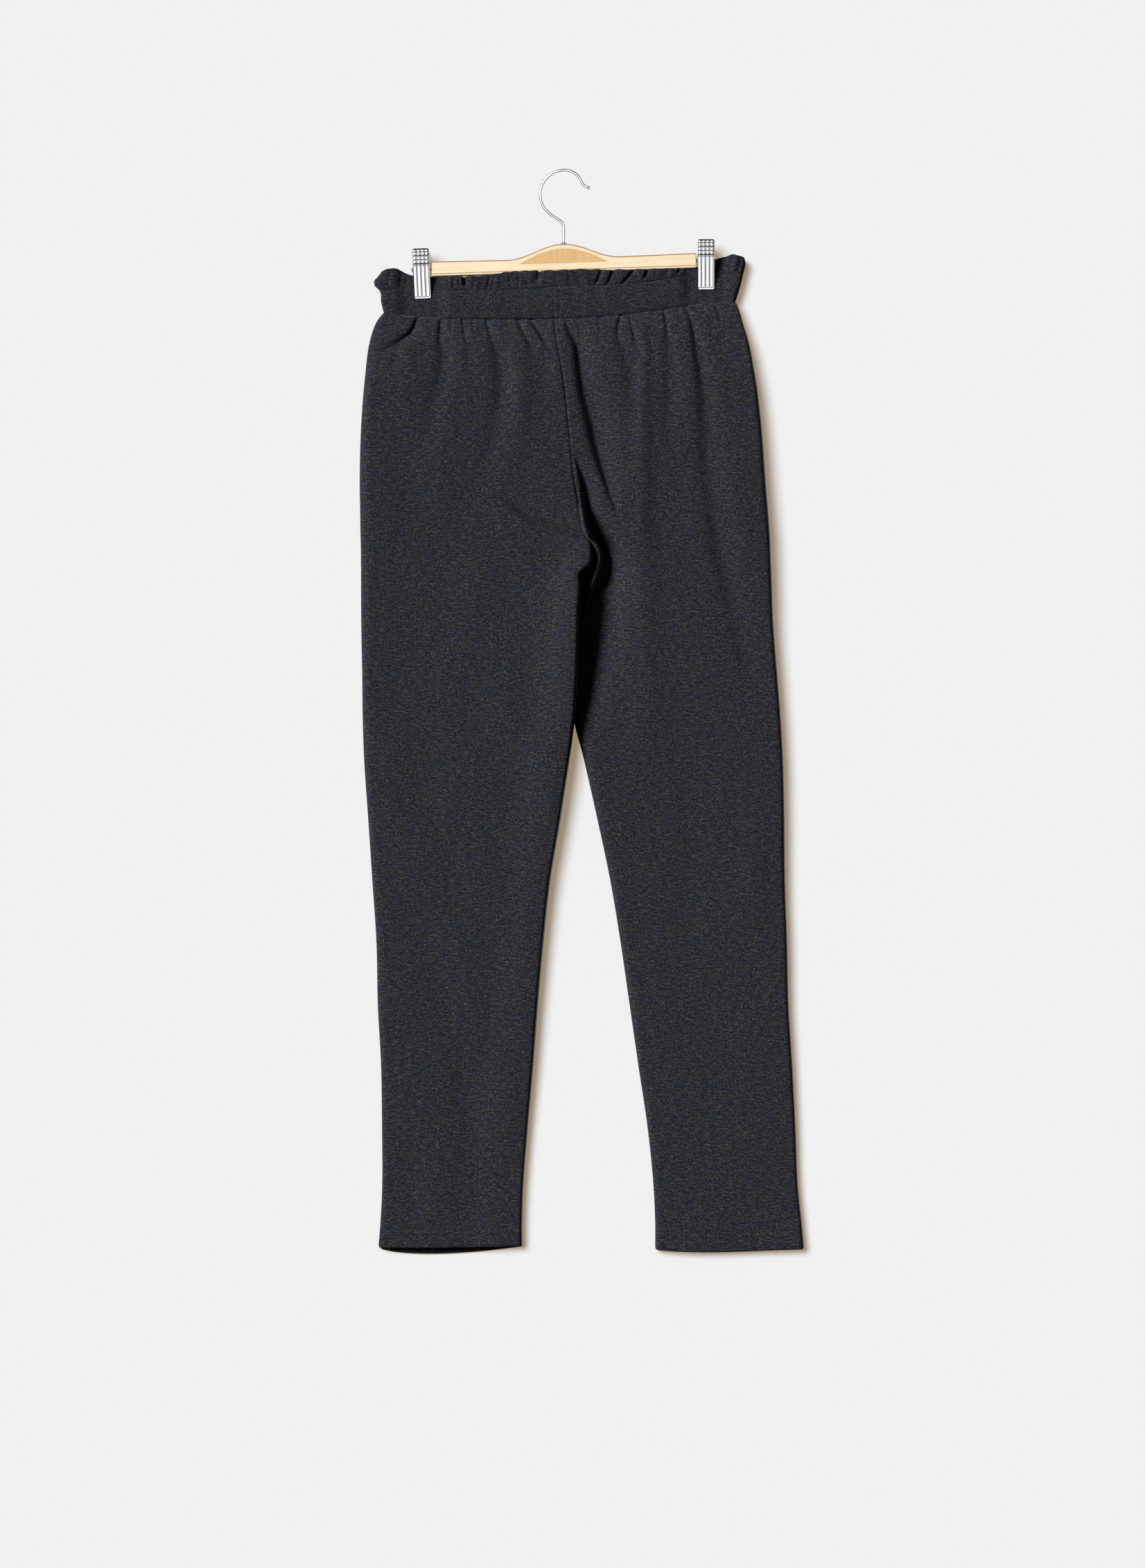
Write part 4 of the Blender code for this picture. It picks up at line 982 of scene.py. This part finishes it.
on_bar = placed(BAR_CENTRE, BAR_TILT)
bar_half = BAR_LENGTH / 2
end_xs = [bar_half - BAR_END_RUN * i / 4 for i in range(5)]
outline_xs = end_xs + [HUMP_HALF * (1 - i / 40) for i in range(81)] + [-x for x in end_xs[::-1]]
bar_outline = [(-bar_half, -BAR_END_HALF), (bar_half, -BAR_END_HALF)]
bar_outline += [(x, hump_top(x)) for x in outline_xs]
bar = board("hanger_bar", bar_outline, BAR_THICK / 2, beech, on_bar)
window = board("window", lens(0.1), BAR_THICK, beech, on_bar)
eased_edges(bar, 1.5, 4)
given(bar.modifiers.new("window", "BOOLEAN"), object=window, operation="DIFFERENCE")
bpy.context.view_layer.update()
cut_bar = bpy.data.meshes.new_from_object(bar.evaluated_get(bpy.context.evaluated_depsgraph_get()))
bar.modifiers.clear()
bar.data = cut_bar
bpy.data.objects.remove(window)
even_flats(bar)
inlay = board("hanger_inlay", lens(0), BAR_THICK / 2 - INLAY_RECESS, inlay_wood, on_bar)
eased_edges(inlay, 0.2, 2)
even_flats(inlay)
for wooden, node, slot in ((bar, "bar", "beech"), (inlay, "inlay", "inlay_wood")):
    wooden.visible_diffuse = False
    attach(wooden, "root")
    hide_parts(node)

# --- hook and ferrule ------------------------------
# Bright chrome-plated steel wire, 3.2 mm thick, bent to a hook whose end is upset
# into a button. A turned ferrule covers the hole where the wire enters the bar.

WIRE = 1.6
HOOK_RADIUS, HOOK_NOSE_RADIUS, HOOK_AXIS = 24.6, 17.9, -0.6
HOOK_LEAVES, HOOK_NECK = math.radians(236), math.radians(146)
HOOK_NOSE_END = math.radians(28)
HOOK_KINK, HOOK_TIP = (18.6, -13.9), (24.4, -16.7)
SHANK_DEEP = 12.5
# How far past the tip of the wire, and the radius there.
BUTTON = ((-1.7, WIRE), (-1.3, 1.95), (-0.9, 2.2), (-0.3, 2.25), (0.2, 2.0), (0.5, 1.5), (0.65, 0.7))
# The ferrule's turned profile: radius and height.
FERRULE = ((1.9, 0), (2.8, 0), (2.8, 0.7), (2.7, 1.0), (2.3, 1.5), (2.1, 1.8), (1.9, 1.8))
FERRULE_SIDES, FERRULE_LIFT = 32, 0.3


def bright_plate(name, colour, roughness, waviness):
    """Chrome over polished steel: mirror-like, with a faint unevenness of the plating."""
    made = finish_of(name)
    place = add(made, "TexCoord").outputs["Object"]
    uneven = add(made, "TexNoise", {"Vector": place, "Scale": 1 / (4 * MM), "Detail": 2})
    least, most = roughness * 0.7, roughness * 1.3
    dull = {"Value": uneven, "From Min": 0.3, "From Max": 0.7, "To Min": least, "To Max": most}
    inputs = {
        "Base Color": colour,
        "Metallic": 1.0,
        "Roughness": add(made, "MapRange", dull),
        "Normal": add(made, "Bump", {"Height": uneven, "Strength": waviness, "Distance": 0.1 * MM}),
    }
    add(made, "OutputMaterial", {"Surface": add(made, "BsdfPrincipled", inputs)})
    return made


chrome = bright_plate("bright chrome plate", "#e6e6ea", 0.19, 0.15)
steel = bright_plate("zinc-plated spring steel", "#b4b4b8", 0.28, 0.3)


def arc(centre, radius, start, end, steps):
    """Points round an arc in X and Z, both ends included."""
    turns = [start + (end - start) * i / steps for i in range(steps + 1)]
    return [(centre[0] + radius * math.cos(t), centre[1] + radius * math.sin(t)) for t in turns]


def bend(before, corner, after, radius, steps):
    """Points of a bend between two straight runs, in X and Z."""
    corner = Vector(corner)
    back, on = (Vector(before) - corner).normalized(), (Vector(after) - corner).normalized()
    reach = radius / math.tan(back.angle(on) / 2)
    start, end = corner + back * reach, corner + on * reach
    shares = [i / steps for i in range(steps + 1)]
    return [tuple(start * (1 - t) ** 2 + corner * 2 * t * (1 - t) + end * t**2) for t in shares]


def rod(name, path, radii, finish, sides):
    """A round bar along a path, with a radius for each of its points."""
    path = [Vector(p) for p in path]
    points, across = [], None
    for i, (centre, radius) in enumerate(zip(path, radii)):
        ahead = (path[min(i + 1, len(path) - 1)] - path[max(i - 1, 0)]).normalized()
        across = ahead.orthogonal().normalized() if across is None else across
        across = (across - ahead * across.dot(ahead)).normalized()
        upward = ahead.cross(across)
        for k in range(sides):
            turn = 2 * math.pi * k / sides
            points.append(centre + (across * math.cos(turn) + upward * math.sin(turn)) * radius)
    faces = quads_of(len(path), sides, wraps=True).tolist()
    faces.append(tuple(range(sides))[::-1])
    faces.append(tuple(range((len(path) - 1) * sides, len(path) * sides)))
    return piece_of(name, points, faces, finish)


hump_height = BAR_CENTRE.z + hump_top(0)
sweep = arc((HOOK_AXIS, WIRE - HOOK_RADIUS), HOOK_RADIUS, HOOK_LEAVES, math.pi / 2, steps=60)
nose = arc((HOOK_AXIS, WIRE - HOOK_NOSE_RADIUS), HOOK_NOSE_RADIUS, math.pi / 2, HOOK_NOSE_END, steps=24)[1:]
neck_run = (sweep[0][0] - BAR_CENTRE.x) / math.cos(HOOK_NECK)
elbow = (BAR_CENTRE.x, sweep[0][1] - neck_run * math.sin(HOOK_NECK))
hook_foot = (BAR_CENTRE.x, hump_height - SHANK_DEEP)
hook_line = [hook_foot, (BAR_CENTRE.x, hump_height + 4)]
hook_line += bend(hook_foot, elbow, sweep[0], radius=9, steps=14) + sweep + nose
hook_line += bend(nose[-1], HOOK_KINK, HOOK_TIP, radius=4, steps=8)
hook_path = [Vector((x, 0, z)) for x, z in hook_line]
hook_radii = [WIRE] * len(hook_path)
tip = Vector((HOOK_TIP[0], 0, HOOK_TIP[1]))
tip_way = (tip - hook_path[-1]).normalized()
for past, radius in BUTTON:
    hook_path.append(tip + tip_way * past)
    hook_radii.append(radius)
hook = rod("hanger_hook", hook_path, hook_radii, chrome, sides=28)

ferrule_points = []
for k in range(FERRULE_SIDES):
    turn = 2 * math.pi * k / FERRULE_SIDES
    for radius, rise in FERRULE:
        x, y = BAR_CENTRE.x + radius * math.cos(turn), radius * math.sin(turn)
        ferrule_points.append((x, y, hump_height + FERRULE_LIFT + rise))
ferrule_faces = quads_of(FERRULE_SIDES + 1, len(FERRULE), wraps=True)[:, ::-1] % len(ferrule_points)
ferrule = piece_of("hook_ferrule", ferrule_points, ferrule_faces.tolist(), chrome)
for metal, node in ((hook, "hook"), (ferrule, "ferrule")):
    metal.visible_diffuse = False  # a bright mirror would throw specks of light on the wall
    metal.visible_shadow = False  # in a soft room so thin a wire leaves none there either
    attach(metal, "root")
    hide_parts(node)

# --- clips ------------------------------
# Two jaws of 0.8 mm sheet steel, pressed with four ribs and a gripping pattern of
# knobs, folded round an axle that is driven into the bar's end, and chrome plated.
# A wire spring round the axle holds the jaws shut.

CLIPS = (("left", -143.6, math.radians(2.4)), ("right", 143.6, math.radians(0.3)))
CLIP_HALF, CLIP_BACK_HALF, CLIP_SHEET = 8.7, 7.6, 0.8
PLATE = (
    ("height", "face", "reach"),
    (20.4, -14.5, -13.4),
    (19.7, -14.7, -12.4),
    (12, -13.1, -8.6),
    (6, -11.9, -2.6),
    (2.8, -11.2, 2.9),
    (-2.8, -10, 2.9),
    (-7, -9.1, -3.5),
    (-15, -7.1, -3.5),
    (-26.5, -4.7, -3.5),
    (-28.9, -4.4, -3.5),
    (-29.6, -4.1, -3.4),
)
KNOB_FIRST, KNOB_PITCH = 17.9, 3.75  # the top row of four, and how far apart they are
KNOB_HIGH, KNOB_WIDE, KNOB_TALL = 0.9, 2.05, 1.9
RIB_HIGH, RIB_ROUND, GROOVE = 0.42, 0.2, 0.75
PATTERN_SHIFT = -0.7  # the pressing sits a little to the left on both jaws
PITCHES_WIDE = 4.25  # four ribs or knobs and a margin across a jaw
PLATE_CORNER, FLANGE_STEPS = 1.8, 6
RIB_TOP, RIB_FOOT = 3.6, -27.9
TROUGH, TROUGH_DEEP, TROUGH_HALF = 3.9, 0.6, 1.1  # it parts the knobs from the ribs
TROUGH_RUN = 2.05  # how far it runs to each side, in pitches
RIM_HIGH, RIM_REACH = 0.45, 0.9  # the foot of a jaw is rolled up to a rim
SIDE_ROUND, FLANGE_START, FLANGE_LEAST = 0.9, 1.45, 1.6
SPRING_WIRE, SPRING_RADIUS, SPRING_TURNS, SPRING_HALF = 0.55, 3.0, 4.5, 5.2
SPRING_LEG = (11.4, 12.5)
AXLE, AXLE_DEEP = 1.5, 11
AXLE_HEAD = ((0, AXLE), (0.1, 2.3), (0.7, 2.3), (1, 1.4))  # how far past the clip, and the radius


def pressed_plate(name, half, matrix, columns, mirrored=False):
    """A jaw: ribs below, knobs above, flanges folded back at both sides."""
    top, foot = PLATE[1][0], PLATE[-1][0]
    height = np.linspace(top, foot, round(1.7 * columns))[:, None]
    face = along(PLATE, "face", height)
    reach = np.interp(-height, [-row[0] for row in PLATE[1:]], [row[2] for row in PLATE[1:]])
    to_end = np.clip(np.minimum(height - foot, top - height) / PLATE_CORNER, 0, 1)
    half_here = half - PLATE_CORNER * (1 - np.sqrt(1 - (1 - to_end) ** 2))
    across = np.linspace(-1, 1, columns)[None, :] * half_here
    pitch = 2 * half / PITCHES_WIDE
    beside = across - PATTERN_SHIFT

    to_groove = np.abs(beside - pitch * np.round(beside / pitch))
    ribs = RIB_HIGH * np.minimum(to_groove / GROOVE, 1) + RIB_ROUND * np.sin(math.pi * beside / pitch) ** 2
    ribs = ribs * eased(RIB_FOOT - 0.8, RIB_FOOT + 0.8, height)
    ribs = ribs * (1 - eased(RIB_TOP - 0.8, RIB_TOP + 0.6, height))
    off = np.full(across.shape, 9.0)  # from the nearest knob's middle, 1 at its foot
    for row in range(4):
        for n in (-1.5, -0.5, 0.5, 1.5):
            level = KNOB_FIRST - KNOB_PITCH * row
            off = np.minimum(off, np.hypot((beside - n * pitch) / KNOB_WIDE, (height - level) / KNOB_TALL))
    knobs = KNOB_HIGH * (1 - np.clip(off - 0.58, 0, 0.8)) * eased(-0.1, 0.1, height - TROUGH)
    trough = TROUGH_DEEP * np.clip(1 - np.abs(height - TROUGH) / TROUGH_HALF, 0, 1)
    trough = trough * (np.abs(beside) < TROUGH_RUN * pitch)
    rim = RIM_HIGH * np.exp(-(((height - foot) / RIM_REACH) ** 2))
    to_side = np.clip((half_here - np.abs(across)) / SIDE_ROUND, 0, 1)
    relief = (ribs + knobs - trough) * eased(0, 1, to_side) + rim
    y = face + 0.55 - relief + SIDE_ROUND * (1 - np.sqrt(1 - (1 - to_side) ** 2))

    deep = np.maximum(reach, face + FLANGE_LEAST) - face - FLANGE_START
    depths = face + FLANGE_START + deep * np.arange(1, FLANGE_STEPS + 1) / FLANGE_STEPS
    y = np.concatenate([depths[:, ::-1], y, depths], axis=1)
    sides = np.repeat(half_here, FLANGE_STEPS, axis=1)
    x = np.concatenate([-sides, across, sides], axis=1)
    grid = np.stack([x, -y if mirrored else y, height + 0 * x], axis=2)
    quads = quads_of(*grid.shape[:2])[:, [1, 2, 3, 0] if mirrored else [0, 3, 2, 1]]
    made = piece_of(name, grid.reshape(-1, 3), quads.tolist(), chrome)
    given(made.modifiers.new("sheet steel", "SOLIDIFY"), thickness=CLIP_SHEET * MM, offset=-1)
    made.matrix_world = matrix
    return made


def spring_path():
    """Down one leg, round the coil and up the other leg."""
    out, up = SPRING_LEG
    bend_out, bend_up = SPRING_RADIUS + 1.2, 1.6
    path = [(-SPRING_HALF, -out, up), (-SPRING_HALF, -bend_out, bend_up)]
    steps = round(SPRING_TURNS * 24)
    for i in range(steps + 1):
        turn = math.pi + 2 * math.pi * SPRING_TURNS * i / steps
        x = -SPRING_HALF + 2 * SPRING_HALF * i / steps
        path.append((x, SPRING_RADIUS * math.cos(turn), SPRING_RADIUS * math.sin(turn)))
    return path + [(SPRING_HALF, bend_out, bend_up), (SPRING_HALF, out, up)]


clip_things = []
for clip_side, clip_along, clip_tilt in CLIPS:
    clip_frame = placed(on_bar @ Vector((clip_along * MM, 0, 0)) / MM, clip_tilt)
    outward = math.copysign(1, clip_along)
    head = clip_along + outward * (CLIP_HALF + 0.4)
    axle_path = [(outward * (bar_half - AXLE_DEEP), 0, 0)]
    axle_path += [(head + outward * past, 0, 0) for past, _ in AXLE_HEAD]
    axle_radii = [AXLE, *(radius for _, radius in AXLE_HEAD)]
    axle = rod(f"{clip_side}_clip_axle", axle_path, axle_radii, steel, sides=24)
    axle.matrix_world = on_bar
    path = spring_path()
    coil = rod(f"{clip_side}_clip_spring", path, [SPRING_WIRE] * len(path), steel, sides=10)
    coil.matrix_world = clip_frame
    near_jaw = pressed_plate(f"{clip_side}_clip_near_jaw", CLIP_HALF, clip_frame, columns=89)
    far_look = {"columns": 53, "mirrored": True}
    far_jaw = pressed_plate(f"{clip_side}_clip_far_jaw", CLIP_BACK_HALF, clip_frame, **far_look)
    clip_pieces = ((near_jaw, "front", "chrome"), (far_jaw, "back", "chrome"))
    clip_pieces += ((axle, "axle", "steel"), (coil, "spring", "steel"))
    for made_piece, part, slot in clip_pieces:
        made_piece.visible_diffuse = False
        clip_things.append(made_piece)
        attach(made_piece, "root")
        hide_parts(f"clip_{clip_side}_{part}")

# --- room ------------------------------
# A white painted wall close behind the trousers and tipped a little to follow them, a
# pale floor below, and the room's other walls far off. Each is matt, is seen from its
# own side only, and glows, as in a room full of daylight.

FLOOR_AT, CEILING_AT = -1560, 6000
ROOM_HALF, FLOOR_HALF, ROOM_BACK = 8000, 9000, 200


def painted(name, code, glow):
    """Matt emulsion paint that glows and is clear from behind."""
    made = finish_of(name)
    inputs = {"Base Color": code, "Roughness": 0.95, "Emission Color": glow, "Emission Strength": 1.0}
    paint = add(made, "BsdfPrincipled", inputs)
    behind = add(made, "NewGeometry").outputs["Backfacing"]
    clear = add(made, "BsdfTransparent")
    sided = add(made, "MixShader", {0: behind, 1: paint, 2: clear})
    add(made, "OutputMaterial", {"Surface": sided})
    return made


lean_of_wall = (WALL_TOP - WALL_FOOT) / WALL_RUN
wide, near = ROOM_HALF, -FLOOR_HALF
wall_corners = ((-wide, FLOOR_AT), (wide, FLOOR_AT), (wide, CEILING_AT), (-wide, CEILING_AT))
wall_points = [(x, WALL_TOP + lean_of_wall * z, z) for x, z in wall_corners]
wall_paint = painted("white wall", "#c8d3de", "#958268")
wall = piece_of("wall", wall_points, [(0, 1, 2, 3)], wall_paint, smooth=False)
floor_points = [(x * FLOOR_HALF, y * FLOOR_HALF, FLOOR_AT) for x, y in ((-1, -1), (1, -1), (1, 1), (-1, 1))]
floor_paint = painted("pale floor", "#dddcd9", "#8e8d8a")
floor = piece_of("floor", floor_points, [(0, 1, 2, 3)], floor_paint, smooth=False)
corners = ((-wide, ROOM_BACK), (-wide, near), (wide, near), (wide, ROOM_BACK))
room_points = [(x, y, z) for x, y in corners for z in (FLOOR_AT, CEILING_AT)]
room_faces = [(0, 1, 3, 2), (2, 3, 5, 4), (4, 5, 7, 6)]
room = piece_of("room", room_points, room_faces, painted("room walls", "#8a8a88", "#cfcfcc"), smooth=False)
given(wall, visible_shadow=False, visible_diffuse=False)
given(floor, visible_glossy=False, visible_diffuse=False)
given(room, visible_shadow=False, visible_diffuse=False, visible_glossy=False)

world = given(bpy.data.worlds.new("daylight"), use_nodes=True)
bpy.context.scene.world = world
sky = world.node_tree.nodes["Background"].inputs
sky["Color"].default_value = (1.0, 0.98, 0.95, 1)
sky["Strength"].default_value = 0.06


def lamp(name, kind, place, target, power, colour, lit, **shape):
    """A lamp at a place in metres, turned to its target, that lights the stated things."""
    data = given(bpy.data.lights.new(name, kind), energy=power, color=colour, **shape)
    made = given(bpy.data.objects.new(name, data), location=place, visible_camera=False)
    bpy.context.scene.collection.objects.link(made)
    made.rotation_euler = (Vector(target) - Vector(place)).to_track_quat("-Z", "Y").to_euler()
    group = bpy.data.collections.new(f"lit by the {name}")
    for thing in lit:
        group.objects.link(thing)
    made.light_linking.receiver_collection = group


# The window's light rakes across the cloth. It reaches the wood, the hook and the wall
# more from the front, so that the trousers' shadow on the wall stays narrow, and it
# misses the clips, whose pressed slopes would glint. A lamp behind lights the far side.
middle = (0, 0, -0.6)
DAYLIGHT, WARM, WHITE = (0.98, 0.99, 1.0), (1.0, 0.98, 0.96), (1, 1, 1)
metal_things = [hook, ferrule, *clip_things]
hanger_things = [bar, inlay, *metal_things]
wall_things = [bar, inlay, hook, ferrule, wall, floor, room]
lamp("window on the cloth", "SUN", (-2.9, -2.4, 0.85), middle, 5.0, DAYLIGHT, cloth_things, angle=0.42)
lamp("window on the wall", "SUN", (-1.2, -3.3, 0.36), middle, 3.28, DAYLIGHT, wall_things, angle=0.44)
for far_lit, far_power in ((cloth_things, 300), (hanger_things, 150)):
    lamp("far side", "AREA", (1.9, 3.4, 0.7), middle, far_power, WARM, far_lit, size=2)

# A white card in front and a wide grey one behind it, there only for the bright metal to mirror.
for card, y, size, size_y, power in (("white card", -2.2, 2.5, 2.1, 20), ("grey card", -3.2, 14, 6, 34)):
    shape = {"shape": "RECTANGLE", "size": size, "size_y": size_y}
    lamp(card, "AREA", (0, y, -0.5), (0, 0, -0.5), power, WHITE, metal_things, **shape)

camera = bpy.data.objects.new("camera", bpy.data.cameras.new("camera"))
bpy.context.scene.collection.objects.link(camera)
given(camera, location=(0.0074, -6.0, -0.6185), rotation_euler=(math.radians(90), 0, 0))
camera.data.lens = 136.4
bpy.context.scene.camera = camera
bpy.context.scene.view_settings.view_transform = "Standard"
